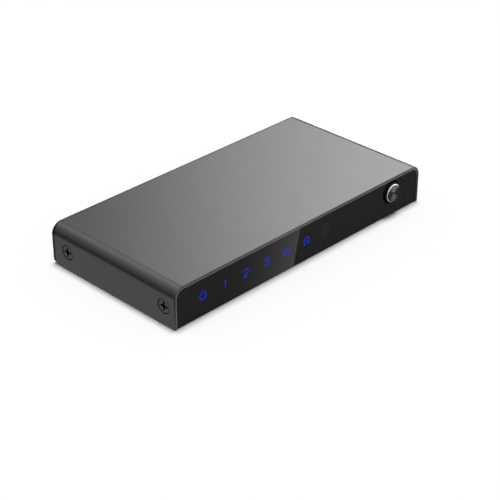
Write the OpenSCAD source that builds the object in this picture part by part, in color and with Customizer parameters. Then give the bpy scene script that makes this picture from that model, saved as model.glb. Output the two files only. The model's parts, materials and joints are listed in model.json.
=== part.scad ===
// Video switch box: a bent sheet cover over a sheet tray, with a gloss front panel,
// one push button, a circuit board and four video sockets at the rear.
// X runs to the right as seen from the front, Y to the rear and Z up.
// The origin is under the middle of the case, where the feet stand. Sizes are in millimetres.

/* [Cover] */
// Width of the cover across the front
case_w = 140; // [134:1:180]
// Depth of the cover from its front edge to its rear edge
case_d = 69.5; // [66:0.5:90]
// Height of the cover from its lower edge to its top
case_h = 17.2; // [16.4:0.1:22]
// Thickness of the cover sheet
cover_t = 1.5; // [1.3:0.1:1.8]
// Outside radius of the bend along each side of the cover
bend_r = 4.75; // [3.5:0.25:6]
// Bevel along the outer front and rear edges of the cover
edge_bevel = 0.15; // [0.1:0.05:0.8]
// Length of the cut at each rear lower corner of the cover
corner_cut_l = 3.5; // [1:0.1:5]
// Height of the cut at each rear lower corner of the cover
corner_cut_h = 1.3; // [0.5:0.1:2]

/* [Base tray] */
// Thickness of the tray sheet
tray_t = 1.2; // [0.9:0.1:1.5]
// Outside radius of the tray's front and rear bends
tray_bend_r = 1.8; // [1.6:0.1:2.4]
// Height of the tray's underside above the cover's lower edge
tray_lift = 0.7; // [0.4:0.1:0.9]
// Distance of the tray's rear wall inside the cover's rear edge
rear_inset = 0.6; // [0.3:0.1:1.5]
// Gap between the tray and the cover all round
tray_gap = 0.15; // [0.1:0.05:0.25]
// Width of each screw tab of the tray
tab_w = 9; // [7:0.5:12]
// Height of each screw tab above the cover screws
tab_over = 3.5; // [3:0.5:4.5]
// Outside diameter of the drawn collar round each tapped hole
collar_d = 4.8; // [4.2:0.1:5.4]
// Length of the drawn collar behind the tab
collar_l = 1.2; // [0.6:0.1:1.8]

/* [Cover screws] */
// Thread diameter of the cover screws
cover_screw_d = 3; // [2.5:0.1:3.2]
// Length of the cover screws over the head
cover_screw_l = 6; // [5:0.5:7]
// Head diameter of the cover screws
cover_head_d = 5.6; // [5:0.1:6]
// Room between the screw head and the edge of its countersink
cover_head_gap = 0.3; // [0.2:0.05:0.5]
// Depth of the screw head below the cover's surface
cover_head_sink = 0.15; // [0.05:0.05:0.2]
// Distance of the front screws from the cover's front edge
screw_front_inset = 5.7; // [5.4:0.1:10]
// Distance of the rear screws from the cover's rear edge
screw_rear_inset = 9; // [7:0.5:16]
// Height of the cover screws above the cover's lower edge
screw_h = 8.05; // [7:0.05:9]

/* [Feet] */
// Diameter of each foot
foot_d = 9; // [6:0.5:12]
// Thickness of each foot
foot_t = 1.2; // [1:0.1:3]
// Distance of each foot's centre from the cover's sides
foot_inset_x = 13; // [9:0.5:20]
// Distance of each foot's centre from the cover's front and rear edges
foot_inset_y = 12; // [9:0.5:20]

/* [Front panel] */
// Thickness of the front panel
panel_t = 2; // [1.5:0.1:2.5]
// Depth of the panel's face behind the cover's front edge
panel_recess = 0.15; // [0:0.05:0.5]
// Gap between the panel and the cover all round
panel_gap = 0.1; // [0.05:0.05:0.3]
// Thickness of the adhesive sheet behind the panel
adhesive_t = 0.2; // [0.1:0.05:0.4]
// Distance of the adhesive sheet inside the panel's edges
adhesive_inset = 0.8; // [0.5:0.1:1.5]

/* [Indicators] */
// Distance of the first indicator from the cover's left side
indicator_inset = 14.4; // [13:0.1:18]
// Distance between indicators, and from the last one to the infrared window
indicator_pitch = 11.25; // [9:0.25:12]
// Number of indicators
indicator_count = 6; // [4:1:6]
// Height of the lit window above the board's upper face
window_over = 4.2; // [3.5:0.1:5]
// Depth of the lit window below the board's upper face
window_under = 0.6; // [0.3:0.1:0.8]
// Wall of the light baffle
baffle_wall = 0.8; // [0.6:0.1:1]
// Thickness of the diffuser
diffuser_t = 0.3; // [0.2:0.05:0.5]
// Clearance round the light baffle where it passes through the tray
baffle_gap = 0.2; // [0.1:0.05:0.4]
// Distance of the lamps behind the board's front edge
lamp_inset = 0.8; // [0.7:0.1:1.1]
// Diameter of the hole in front of the infrared receiver
ir_hole_d = 6.4; // [5.4:0.1:7]
// Height of the infrared receiver's lens above the board
ir_axis_h = 2.65; // [2.4:0.05:3]

/* [Select button] */
// Diameter of the button cap
button_d = 8.8; // [7:0.1:9.6]
// Gap round the button cap in the panel
button_gap = 0.5; // [0.3:0.05:0.7]
// Height of the button's face above the cover's front edge
button_proud = 1.2; // [0.8:0.1:2]
// Bevel at the rim of the button's face
button_bevel = 0.3; // [0.2:0.05:0.8]
// Distance of the button from the cover's right side
button_inset = 17.7; // [15:0.1:22]
// Depth of the button's axis below the inside of the cover's top
button_drop = 5.25; // [5.1:0.05:6]
// Travel of the button
button_travel = 0.5; // [0.3:0.05:0.6]
// Width of the stem's flange beyond the panel's hole
flange_lap = 0.7; // [0.5:0.05:1]
// Thickness of the stem's flange
flange_t = 0.9; // [0.6:0.1:1.1]
// Diameter of the spigot that holds the cap
spigot_d = 4; // [3:0.1:5]
// Length of the spigot inside the cap
spigot_l = 2; // [1.2:0.1:2.4]

/* [Push switch] */
// Width of the push switch
switch_w = 6; // [5.6:0.1:6.6]
// Depth of the push switch from front to rear
switch_d = 3.6; // [3.3:0.1:4]
// Height of the push switch above the board
switch_h = 6.6; // [6.3:0.1:7]
// Height of the plunger above the board
switch_axis_h = 3.65; // [3.4:0.05:4]
// Diameter of the plunger
plunger_d = 3.2; // [2.8:0.1:3.4]
// Length of the plunger in front of the switch
plunger_l = 3; // [2.8:0.1:3.3]
// Distance of the switch behind the board's front edge
switch_inset = 3.3; // [3.2:0.1:3.6]
// Thickness of the switch's steel bracket
bracket_t = 0.3; // [0.2:0.05:0.4]

/* [Circuit board] */
// Thickness of the circuit board
board_t = 1.6; // [1.2:0.1:2]
// Height of the standoffs under the board
standoff_h = 3.3; // [3:0.1:4]
// Diameter of the standoffs
standoff_d = 5; // [4.5:0.1:6]
// Gap between the board and the tray's front and rear walls
board_gap = 0.5; // [0.4:0.05:0.8]
// Gap between the board's sides and the tips of the cover screws
board_side_gap = 0.5; // [0.3:0.1:1.5]
// Distance of the standoffs from the board's sides
standoff_inset = 4; // [3.5:0.1:4.5]
// Distance of the front standoffs from the board's front edge
standoff_front = 8; // [7.5:0.5:10]
// Distance of the rear standoffs from the board's rear edge
standoff_rear = 17; // [16:0.5:19]
// Thread diameter of the board screws
board_screw_d = 2.5; // [2:0.1:3]
// Length of the board screws under the head
board_screw_l = 4; // [3:0.5:4.5]

/* [Video sockets] */
// Width of the socket's opening
socket_w = 14; // [13.6:0.1:14.4]
// Height of the socket's opening
socket_h = 4.55; // [4.4:0.05:4.9]
// Width of the slanted cut at each lower corner of the opening
socket_cut_w = 1.75; // [1.2:0.05:2]
// Height of the slanted cut at each lower corner of the opening
socket_cut_h = 1.9; // [1.4:0.1:2.4]
// Corner radius of the opening
socket_r = 0.45; // [0.2:0.05:0.6]
// Thickness of the socket's shell
shell_t = 0.3; // [0.2:0.05:0.4]
// Length of the socket's shell
shell_l = 11.3; // [10.5:0.1:12]
// Width of the lip at the socket's mouth
lip_w = 0.3; // [0.2:0.05:0.35]
// Clearance round the shell in the tray's rear wall
shell_gap = 0.45; // [0.4:0.05:0.7]
// Distance of the socket's mouth behind the tray's rear wall
socket_proud = 1.2; // [0.8:0.1:1.6]
// Distance of the first socket from the middle of the case
socket_inset = 33; // [30:0.5:36]
// Distance between sockets
socket_pitch = 26; // [22:0.5:26.5]
// Width of the tongue inside the socket
tongue_w = 11.2; // [10.8:0.1:11.6]
// Thickness of the tongue
tongue_t = 1.3; // [1:0.1:1.5]
// Height of the tongue's middle above the opening's lower edge
tongue_h = 2.4; // [2.2:0.05:2.6]
// Distance of the tongue's tip inside the socket's mouth
tongue_inset = 1.6; // [1.4:0.1:2.2]
// Width of one contact strip
contact_w = 0.45; // [0.3:0.05:0.6]
// Distance between contact strips
contact_pitch = 1; // [0.9:0.05:1.05]

/* [Power socket] */
// Distance of the power socket from the cover's right side
jack_inset = 14; // [13.5:0.1:16]
// Width of the power socket's housing
jack_w = 6.4; // [6:0.1:7]
// Length of the power socket's housing
jack_l = 10.5; // [10:0.1:11.5]
// Height of the power socket's housing
jack_h = 6.2; // [6:0.1:7]
// Diameter of the power socket's bore
jack_bore_d = 3.9; // [3.6:0.1:4.2]
// Diameter of the collar round the bore
jack_collar_d = 5.8; // [5.4:0.1:6]
// Distance of the collar's end behind the tray's rear wall
jack_proud = 0.6; // [0.2:0.1:1]
// Diameter of the centre pin
pin_d = 1.3; // [1:0.05:1.6]
// Distance of the pin's tip inside the mouth
pin_inset = 1; // [0.6:0.1:1.5]

/* [Board parts] */
// Side of the switching chip
chip_w = 14; // [12:0.5:16]
// Thickness of the switching chip
chip_t = 1.4; // [1:0.1:1.6]
// Thickness of the thermal pad
pad_t = 0.5; // [0.3:0.1:0.8]
// Side of the heat sink
sink_w = 28; // [24:1:30]
// Thickness of the heat sink's base
sink_base_t = 1.5; // [1:0.1:2]
// Number of heat sink fins
fin_count = 9; // [5:1:11]
// Thickness of one heat sink fin
fin_t = 1; // [0.6:0.1:1.2]
// Gap between the heat sink and the cover
sink_gap = 0.9; // [0.5:0.1:1.5]
// Diameter of the can capacitors
can_d = 6.3; // [5:0.1:6.5]
// Height of the can capacitors
can_h = 5.4; // [4.5:0.1:6]

/* [Hidden] */
$fn = 64;
// Small overrun that lets a cut pass cleanly through a face
over = 0.5;

// Fits and small sizes of the cover screws
thread_gap = 0.05;
screw_hole_gap = 0.2;
thread_chamfer = 0.4;
cross_w = 0.6;
cross_l = 3.4;
cross_depth = 1;

// Small sizes of the tray and the feet
tab_r = 1.5;
foot_bevel = 0.3;

// Small sizes of the lamps and the light baffle
cell_w = 8;
lamp_room = 0.3;
lamp_w = 2;
lamp_d = 1.2;
lamp_h = 1.6;

// Small sizes of the infrared receiver
ir_w = 5.6;
ir_d = 4;
ir_lens_d = 4;
ir_inset = 0.6;
lead_pitch = 1.5;
lead_t = 0.4;
lead_reach = 0.9;

// Fits and small sizes of the button
flange_gap = 0.1;
flange_side_gap = 0.5;
post_d = 3.6;
spigot_gap = 0.03;
hole_bevel = 0.25;

// Fits and small sizes of the push switch
switch_wall = 0.8;
plunger_gap = 0.1;
plunger_rim = 0.45;
rim_side_gap = 0.2;
rim_t = 0.4;
rim_gap = 0.05;
dome_h = 0.75;
dome_t = 0.12;
dome_lap = 0.15;
cheek_l = 2.5;

// Fits and small sizes of the board's fixings
board_hole_gap = 0.2;
board_head_lap = 1;
board_head_h = 1.6;
board_head_taper = 0.5;
board_r = 2;
leg_w = 1.2;
leg_gap = 0.15;
leg_under = 0.5;
leg_inset = 2;

// Fits and small sizes of the video sockets
socket_count = 4;
lip_t = 0.4;
block_l = 3.8;
block_gap = 0.03;
tip_l = 0.6;
tip_t = 0.5;
contact_t = 0.1;
contact_tip = 0.5;
upper_contacts = 10;
lower_contacts = 9;
finger_w = 1.6;
finger_l = 4.4;
finger_slot = 0.35;
finger_x = 3.4;
finger_inset = 2.2;

// Fits and small sizes of the power socket
jack_face_gap = 0.2;
jack_hole_gap = 0.25;
jack_floor = 1.4;
jack_r = 1;
jack_spring_w = 1.2;
jack_spring_l = 5;
jack_spring_t = 0.3;
spring_inset = 2.5;

// Small sizes and places of the parts on the board
chip_x = -6;
chip_y = -2;
control_size = [7, 7, 1.2];
control_inset = 36.5;
control_y = -12;
crystal_w = 4.6;
crystal_l = 11;
crystal_h = 3.4;
crystal_r = 2.2;
crystal_gap = 3.2;
regulator_size = [6.5, 3.6, 1.7];
regulator_inset = 19.5;
regulator_y = 12;
coil_w = 6;
coil_h = 3;
coil_r = 1;
coil_core_d = 4;
coil_core_h = 0.2;
coil_inset = 29.5;
coil_y = 6;
can_base_t = 1;
can_base_lap = 0.15;
can_base_r = 1;
can_inset = 16.5;
can_places = [0, -10];
ceramic_size = [1.6, 0.8, 0.8];
ceramic_pitch = 3.2;
ceramic_gap = 2;
ceramic_count = 8;
surge_size = [2.5, 1, 0.6];
surge_x = 3;
surge_gap = 2.5;

// Heights, from the floor upwards
case_z = foot_t - tray_lift;
case_top = case_z + case_h;
inner_top = case_top - cover_t;
floor_top = foot_t + tray_t;
board_z = floor_top + standoff_h;
board_top = board_z + board_t;
button_z = inner_top - button_drop;
plunger_z = board_top + switch_axis_h;
ir_z = board_top + ir_axis_h;
screw_z = case_z + screw_h;
socket_z = board_top + shell_t;
jack_z = board_top + jack_h / 2;
baffle_z = board_top - window_under - baffle_wall;
baffle_top = board_top + window_over + baffle_wall;

// Depths, from the front backwards
front_y = -case_d / 2;
rear_y = case_d / 2;
button_face = front_y - button_proud;
panel_y = front_y + panel_recess;
panel_back = panel_y + panel_t;
flange_y = panel_back + flange_gap;
flange_back = flange_y + flange_t;
baffle_y = panel_back + diffuser_t;
wall_front = panel_back + adhesive_t;
wall_back = wall_front + tray_t;
board_front = wall_back + board_gap;
lamp_y = board_front + lamp_inset;
baffle_back = lamp_y + lamp_d + lamp_room + baffle_wall;
switch_y = board_front + switch_inset;
rim_y = switch_y + switch_wall + rim_gap;
dome_y = rim_y + rim_t + rim_gap;
cavity_back = dome_y + dome_h;
rear_wall_out = rear_y - rear_inset;
rear_wall_in = rear_wall_out - tray_t;
board_rear = rear_wall_in - board_gap;
socket_y = rear_wall_out + socket_proud;
shell_back = socket_y - shell_l;
jack_mouth = rear_wall_out + jack_proud;
jack_front = rear_wall_in - jack_face_gap;

// Widths, radii and places across the case
inner_w = case_w - 2 * cover_t;
inner_r = bend_r - cover_t;
tray_w = inner_w - 2 * tray_gap;
board_w = case_w - 2 * (cover_screw_l + board_side_gap);
first_indicator_x = -case_w / 2 + indicator_inset;
last_indicator_x = first_indicator_x + (indicator_count - 1) * indicator_pitch;
baffle_x = first_indicator_x - cell_w / 2 - baffle_wall;
baffle_w = last_indicator_x + cell_w / 2 + baffle_wall - baffle_x;
ir_x = last_indicator_x + indicator_pitch;
button_x = case_w / 2 - button_inset;
jack_x = case_w / 2 - jack_inset;
cover_hole_d = cover_screw_d + 2 * screw_hole_gap;
board_hole_d = board_screw_d + 2 * board_hole_gap;
board_head_d = board_screw_d + 2 * board_head_lap;
hole_r = button_d / 2 + button_gap;
flange_r = hole_r + flange_lap;
flange_top = min(inner_top - flange_side_gap, button_z + flange_r);
stem_hole_r = flange_r + flange_side_gap;
cavity_r = plunger_d / 2 + plunger_rim + rim_side_gap;

// Helpers

// Children as drawn and mirrored to the other side of the case
module both_sides() {
    children();
    mirror([1, 0, 0]) children();
}

// A flat XZ outline given a depth along Y
module along_y(y, depth) {
    translate([0, y + depth, 0]) rotate([90, 0, 0]) linear_extrude(depth) children();
}

// A flat YZ outline given a width along X
module along_x(x, width) {
    translate([x, 0, 0]) rotate([90, 0, 90]) linear_extrude(width) children();
}

// A shape revolved about Z, turned so that its height runs along Y
module turned_y(y) {
    translate([0, y, 0]) rotate([-90, 0, 0]) children();
}

// Box from one corner to the opposite one
module span(low, high) {
    translate(low) cube(high - low);
}

// Outline with square lower corners and round upper ones, standing on the X axis
module arch(w, h, r) {
    translate([-w / 2, 0]) square([w, h - r]);
    translate([-w / 2 + r, 0]) square([w - 2 * r, h]);
    for (side = [-1, 1]) translate([side * (w / 2 - r), h - r]) circle(r);
}

// The same outline with round lower corners and square upper ones
module dish(w, h, r) {
    translate([0, h]) mirror([0, 1]) arch(w, h, r);
}

// Rectangle with four round corners
module rounded_rect(w, d, r) {
    square([w - 2 * r, d], center = true);
    square([w, d - 2 * r], center = true);
    for (x = [-1, 1], y = [-1, 1]) translate([x * (w / 2 - r), y * (d / 2 - r)]) circle(r);
}

function unit(v) = v / norm(v);

// Points of a convex outline, drawn anticlockwise, with an arc of radius r at each corner
function rounded(points, r, steps = 4) = [
    for (i = [0 : len(points) - 1])
        let (
            corner = points[i],
            back = unit(points[(i + len(points) - 1) % len(points)] - corner),
            ahead = unit(points[(i + 1) % len(points)] - corner),
            half = acos(back * ahead) / 2,
            centre = corner + unit(back + ahead) * r / sin(half),
            spoke = corner + back * r / tan(half) - centre,
            from = atan2(spoke[1], spoke[0])
        )
        for (k = [0 : steps])
            let (turn = from + (180 - 2 * half) * k / steps)
                centre + r * [cos(turn), sin(turn)]
];

// Holes and fixings that several pieces share

module at_cover_screws() {
    both_sides()
        for (y = [front_y + screw_front_inset, rear_y - screw_rear_inset])
            translate([case_w / 2, y, screw_z]) rotate([0, 90, 0]) children();
}

module at_standoffs() {
    for (side = [-1, 1], y = [board_front + standoff_front, board_rear - standoff_rear])
        translate([side * (board_w / 2 - standoff_inset), y, 0]) children();
}

module at_indicators() {
    for (i = [0 : indicator_count - 1])
        translate([first_indicator_x + i * indicator_pitch, 0, 0]) children();
}

module at_button() {
    translate([button_x, 0, button_z]) children();
}

// Axis of the push switch, which stands on the board behind the button
module at_switch() {
    translate([button_x, 0, plunger_z]) children();
}

// Way for the button's stem, open at the top, as a solid from y backwards
module stem_way(y, depth) {
    at_button() {
        turned_y(y) cylinder(h = depth, r = stem_hole_r);
        span([-stem_hole_r, y, 0], [stem_hole_r, y + depth, case_h]);
    }
}

module at_infrared() {
    translate([ir_x, 0, ir_z]) children();
}

module at_jack() {
    translate([jack_x, 0, jack_z]) children();
}

// Socket 0 is the output, sockets 1 to 3 are the inputs
module at_socket(index) {
    translate([socket_inset - index * socket_pitch, 0, socket_z]) children();
}

// Light window with room all round it, as an XZ outline
module window_outline(room) {
    translate([baffle_x - room, baffle_z - room])
        square([baffle_w + 2 * room, baffle_top - baffle_z + 2 * room]);
}

// Case

// The cover's sheet cut across: thickness by depth, with its outer edges bevelled
module sheet_section() {
    polygon([
        [0, front_y],
        [cover_t - edge_bevel, front_y],
        [cover_t, front_y + edge_bevel],
        [cover_t, rear_y - edge_bevel],
        [cover_t - edge_bevel, rear_y],
        [0, rear_y]
    ]);
}

module folded_sheet() {
    translate([case_w / 2 - bend_r, 0, inner_top])
        rotate([0, -90, 0]) linear_extrude(case_w - 2 * bend_r) sheet_section();
    both_sides() {
        translate([case_w / 2 - bend_r, 0, case_top - bend_r])
            rotate([90, 0, 0]) rotate_extrude(angle = 90) translate([inner_r, 0]) sheet_section();
        translate([case_w / 2 - cover_t, 0, case_z])
            linear_extrude(case_h - bend_r) sheet_section();
    }
}

module countersink() {
    sink_r = cover_head_d / 2 + cover_head_gap;
    depth = sink_r - cover_hole_d / 2;
    translate([0, 0, -depth]) cylinder(h = depth, r1 = cover_hole_d / 2, r2 = sink_r);
    translate([0, 0, -cover_t - over]) cylinder(h = cover_t + over, d = cover_hole_d);
}

module top_cover() {
    color("dimgray") difference() {
        folded_sheet();
        at_cover_screws() countersink();
        along_x(-case_w, 2 * case_w)
            polygon([
                [rear_y + over, case_z - over],
                [rear_y + over, case_z + corner_cut_h],
                [rear_y, case_z + corner_cut_h],
                [rear_y - corner_cut_l, case_z],
                [rear_y - corner_cut_l, case_z - over]
            ]);
    }
}

// Outline of the room inside the cover, less a gap all round, from height z upwards
module inner_outline(gap, z) {
    translate([0, z]) arch(inner_w - 2 * gap, inner_top - gap - z, inner_r - gap);
}

// Floor, front wall and rear wall cut along the depth
module tray_section() {
    length = rear_wall_out - wall_front;
    height = case_h;
    translate([(rear_wall_out + wall_front) / 2, foot_t]) difference() {
        dish(length, height, tray_bend_r);
        translate([0, tray_t]) dish(length - 2 * tray_t, height, tray_bend_r - tray_t);
    }
}

// One tapped tab, from y0 to y1, on the right-hand side
module screw_tab(y0, y1) {
    top = screw_z + tab_over;
    along_x(tray_w / 2 - tray_t, tray_t)
        translate([(y0 + y1) / 2, foot_t]) arch(y1 - y0, top - foot_t, tab_r);
}

module tray_tabs() {
    front_screw = front_y + screw_front_inset;
    rear_screw = rear_y - screw_rear_inset;
    both_sides() {
        screw_tab(wall_back - tray_t / 2, front_screw + tab_w / 2);
        screw_tab(rear_screw - tab_w / 2, rear_screw + tab_w / 2);
    }
    at_cover_screws()
        translate([0, 0, -cover_t - tray_gap - tray_t - collar_l])
            cylinder(h = collar_l + tray_t / 2, d = collar_d);
}

module tapped_holes() {
    hole_d = cover_screw_d + 2 * thread_gap;
    at_cover_screws() {
        translate([0, 0, -case_w / 4]) cylinder(h = case_w / 4, d = hole_d);
        translate([0, 0, -cover_t - tray_gap - thread_chamfer])
            cylinder(h = thread_chamfer, d1 = hole_d, d2 = hole_d + 2 * thread_chamfer);
    }
}

module front_wall_openings() {
    depth = tray_t + 2 * over;
    along_y(wall_front - over, depth) window_outline(baffle_gap);
    at_infrared() turned_y(wall_front - over) cylinder(h = depth, d = ir_hole_d);
    stem_way(wall_front - over, depth);
}

module rear_wall_openings() {
    depth = tray_t + 2 * over;
    for (i = [0 : socket_count - 1])
        at_socket(i) along_y(rear_wall_in - over, depth) socket_outline(shell_t + shell_gap);
    at_jack() turned_y(rear_wall_in - over)
        cylinder(h = depth, d = jack_collar_d + 2 * jack_hole_gap);
}

module base_tray() {
    color("black") difference() {
        union() {
            intersection() {
                along_x(-tray_w / 2, tray_w) tray_section();
                along_y(front_y, case_d) inner_outline(tray_gap, 0);
            }
            tray_tabs();
        }
        tapped_holes();
        front_wall_openings();
        rear_wall_openings();
    }
}

module cover_screw() {
    head_r = cover_head_d / 2;
    thread_r = cover_screw_d / 2;
    head_h = head_r - thread_r;
    difference() {
        union() {
            translate([0, 0, -cover_head_sink - head_h]) cylinder(h = head_h, r1 = thread_r, r2 = head_r);
            translate([0, 0, -cover_screw_l])
                cylinder(h = cover_screw_l - cover_head_sink - head_h, r = thread_r);
        }
        for (turn = [0, 90])
            rotate(turn) translate([0, 0, -cover_head_sink])
                cube([cross_l, cross_w, 2 * cross_depth], center = true);
    }
}

module cover_screws() {
    color("gray") at_cover_screws() cover_screw();
}

module rubber_feet() {
    color("black")
        for (x = [-1, 1], y = [-1, 1])
            translate([x * (case_w / 2 - foot_inset_x), y * (case_d / 2 - foot_inset_y), 0]) {
                cylinder(h = foot_bevel, d1 = foot_d - 2 * foot_bevel, d2 = foot_d);
                translate([0, 0, foot_bevel]) cylinder(h = foot_t - foot_bevel, d = foot_d);
            }
}

// Front panel

module front_panel() {
    color([0.03, 0.03, 0.03]) difference() {
        along_y(panel_y, panel_t) inner_outline(panel_gap, case_z);
        at_button() turned_y(panel_y - over) cylinder(h = panel_t + 2 * over, r = hole_r);
        at_button() turned_y(panel_y) cylinder(h = hole_bevel, r1 = hole_r + hole_bevel, r2 = hole_r);
    }
}

module panel_adhesive() {
    color("ivory") difference() {
        along_y(panel_back, adhesive_t) inner_outline(tray_gap + adhesive_inset, foot_t + tray_bend_r);
        along_y(panel_back - over, adhesive_t + 2 * over) window_outline(baffle_gap);
        at_infrared() turned_y(panel_back - over) cylinder(h = adhesive_t + 2 * over, d = ir_hole_d);
        stem_way(panel_back - over, adhesive_t + 2 * over);
    }
}

// Circuit board and its fixings

module main_board() {
    color("darkgreen") difference() {
        translate([0, (board_front + board_rear) / 2, board_z])
            linear_extrude(board_t) rounded_rect(board_w, board_rear - board_front, board_r);
        at_standoffs() translate([0, 0, board_z - over]) cylinder(h = board_t + 2 * over, d = board_hole_d);
        for (i = [0 : socket_count - 1]) at_socket(i) shell_legs(leg_gap);
    }
}

module board_standoffs() {
    color("goldenrod") at_standoffs() difference() {
        translate([0, 0, floor_top]) cylinder(h = standoff_h, d = standoff_d);
        translate([0, 0, floor_top - over])
            cylinder(h = standoff_h + 2 * over, d = board_screw_d + 2 * thread_gap);
    }
}

module board_screws() {
    color("silver") at_standoffs() difference() {
        union() {
            translate([0, 0, board_top])
                cylinder(h = board_head_h, d1 = board_head_d, d2 = board_head_d - 2 * board_head_taper);
            translate([0, 0, board_top - board_screw_l]) cylinder(h = board_screw_l, d = board_screw_d);
        }
        for (turn = [0, 90])
            rotate(turn) translate([0, 0, board_top + board_head_h])
                cube([board_head_d / 2, cross_w, 2 * cross_depth], center = true);
    }
}

// Video sockets

// Outline of the socket's opening, grown all round, with its lower edge on the X axis
module socket_outline(grow) {
    slant = norm([socket_cut_w, socket_cut_h]);
    // How far the two ends of the slanted side move along the straight sides as the outline grows
    side_shift = grow * (slant - socket_cut_h) / socket_cut_w;
    bottom_shift = grow * (slant - socket_cut_w) / socket_cut_h;
    half_w = socket_w / 2;
    polygon(rounded([
        [half_w + grow, socket_cut_h - side_shift],
        [half_w + grow, socket_h + grow],
        [-half_w - grow, socket_h + grow],
        [-half_w - grow, socket_cut_h - side_shift],
        [-half_w + socket_cut_w - bottom_shift, -grow],
        [half_w - socket_cut_w + bottom_shift, -grow]
    ], socket_r + max(grow, -socket_r / 2)));
}

// Four solder legs of a shell, with room all round them
module shell_legs(room) {
    outer = socket_w / 2 + shell_t;
    both_sides()
        for (y = [shell_back + leg_inset, board_rear - leg_inset])
            span(
                [socket_w / 2 - room, y - leg_w / 2 - room, -shell_t - board_t - leg_under - room],
                [outer + room, y + leg_w / 2 + room, socket_cut_h + 1]
            );
}

// Slot round the three free sides of one spring finger in the shell's upper side
module finger_slot_cut() {
    y1 = socket_y - finger_inset;
    outer = finger_w / 2 + finger_slot;
    low = socket_h - shell_t;
    high = socket_h + 2 * shell_t;
    for (side = [-1, 1])
        translate([side * (finger_w + finger_slot) / 2, 0, 0])
            span([-finger_slot / 2, y1 - finger_l, low], [finger_slot / 2, y1, high]);
    span([-outer, y1 - finger_l - finger_slot, low], [outer, y1 - finger_l, high]);
}

module socket_shell(index) {
    color("silver") at_socket(index) difference() {
        union() {
            along_y(shell_back, shell_l) socket_outline(shell_t);
            along_y(socket_y - lip_t, lip_t) socket_outline(shell_t + lip_w);
            shell_legs(0);
        }
        along_y(shell_back - over, shell_l + 2 * over) socket_outline(0);
        for (side = [-1, 1]) translate([side * finger_x, 0, 0]) finger_slot_cut();
    }
}

module socket_tongue(index) {
    tip = socket_y - tongue_inset;
    low = tongue_h - tongue_t / 2;
    high = tongue_h + tongue_t / 2;
    color([0.1, 0.1, 0.1]) at_socket(index) {
        along_y(shell_back, block_l) socket_outline(-block_gap);
        along_x(-tongue_w / 2, tongue_w)
            polygon([
                [shell_back + block_l - over, low],
                [tip - tip_l, low],
                [tip, tongue_h - tip_t / 2],
                [tip, tongue_h + tip_t / 2],
                [tip - tip_l, high],
                [shell_back + block_l - over, high]
            ]);
    }
}

module contact_row(count, z) {
    for (i = [0 : count - 1])
        translate([(i - (count - 1) / 2) * contact_pitch, 0, 0])
            span(
                [-contact_w / 2, shell_back + block_l, z],
                [contact_w / 2, socket_y - tongue_inset - tip_l - contact_tip, z + contact_t]
            );
}

module socket_contacts(index) {
    color("gold") at_socket(index) {
        contact_row(upper_contacts, tongue_h + tongue_t / 2);
        contact_row(lower_contacts, tongue_h - tongue_t / 2 - contact_t);
    }
}

module hdmi_out_shell() { socket_shell(0); }
module hdmi_out_tongue() { socket_tongue(0); }
module hdmi_out_contacts() { socket_contacts(0); }
module hdmi_in_1_shell() { socket_shell(1); }
module hdmi_in_1_tongue() { socket_tongue(1); }
module hdmi_in_1_contacts() { socket_contacts(1); }
module hdmi_in_2_shell() { socket_shell(2); }
module hdmi_in_2_tongue() { socket_tongue(2); }
module hdmi_in_2_contacts() { socket_contacts(2); }
module hdmi_in_3_shell() { socket_shell(3); }
module hdmi_in_3_tongue() { socket_tongue(3); }
module hdmi_in_3_contacts() { socket_contacts(3); }

// Power socket

// Room for the spring contact under the bore, grown all round
module spring_room(room) {
    y1 = jack_front - spring_inset;
    span(
        [-jack_spring_w / 2 - room, y1 - jack_spring_l - room, -jack_bore_d / 2 - jack_spring_t - room],
        [jack_spring_w / 2 + room, y1 + room, -jack_bore_d / 2 + room]
    );
}

module power_socket_housing() {
    back = jack_front - jack_l;
    color([0.08, 0.08, 0.08]) at_jack() difference() {
        union() {
            along_y(back, jack_l) translate([0, -jack_h / 2]) arch(jack_w, jack_h, jack_r);
            turned_y(jack_front - over) cylinder(h = jack_mouth - jack_front + over, d = jack_collar_d);
        }
        turned_y(back + jack_floor) cylinder(h = jack_mouth - back, d = jack_bore_d);
        translate([0, 0, jack_spring_t / 2]) spring_room(thread_gap);
        spring_room(thread_gap);
    }
}

module power_socket_pin() {
    back = jack_front - jack_l + jack_floor;
    tip = jack_mouth - pin_inset;
    color("gold") at_jack() {
        turned_y(back) cylinder(h = tip - pin_d / 2 - back, d = pin_d);
        turned_y(tip - pin_d / 2) intersection() {
            sphere(d = pin_d);
            cylinder(h = pin_d, d = pin_d);
        }
    }
}

module power_socket_spring() {
    color("gold") at_jack() spring_room(0);
}

// Select button and push switch

module select_button_cap() {
    length = flange_y - button_face;
    r = button_d / 2;
    color("lightgray") at_button() turned_y(button_face) difference() {
        union() {
            cylinder(h = button_bevel, r1 = r - button_bevel, r2 = r);
            translate([0, 0, button_bevel]) cylinder(h = length - button_bevel, r = r);
        }
        translate([0, 0, length - spigot_l - spigot_gap])
            cylinder(h = spigot_l + over, d = spigot_d + 2 * spigot_gap);
    }
}

// The spigot and flange lie on the button's axis and the post on the push switch's axis
module select_button_stem() {
    color([0.15, 0.15, 0.15]) {
        at_button() {
            turned_y(flange_y - spigot_l) cylinder(h = spigot_l + flange_t / 2, d = spigot_d);
            intersection() {
                turned_y(flange_y) cylinder(h = flange_t, r = flange_r);
                span([-flange_r, flange_y, -flange_r], [flange_r, flange_back, flange_top - button_z]);
            }
        }
        at_switch() turned_y(flange_back - flange_t / 2)
            cylinder(h = switch_y - plunger_l - flange_back + flange_t / 2, d = post_d);
    }
}

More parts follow.
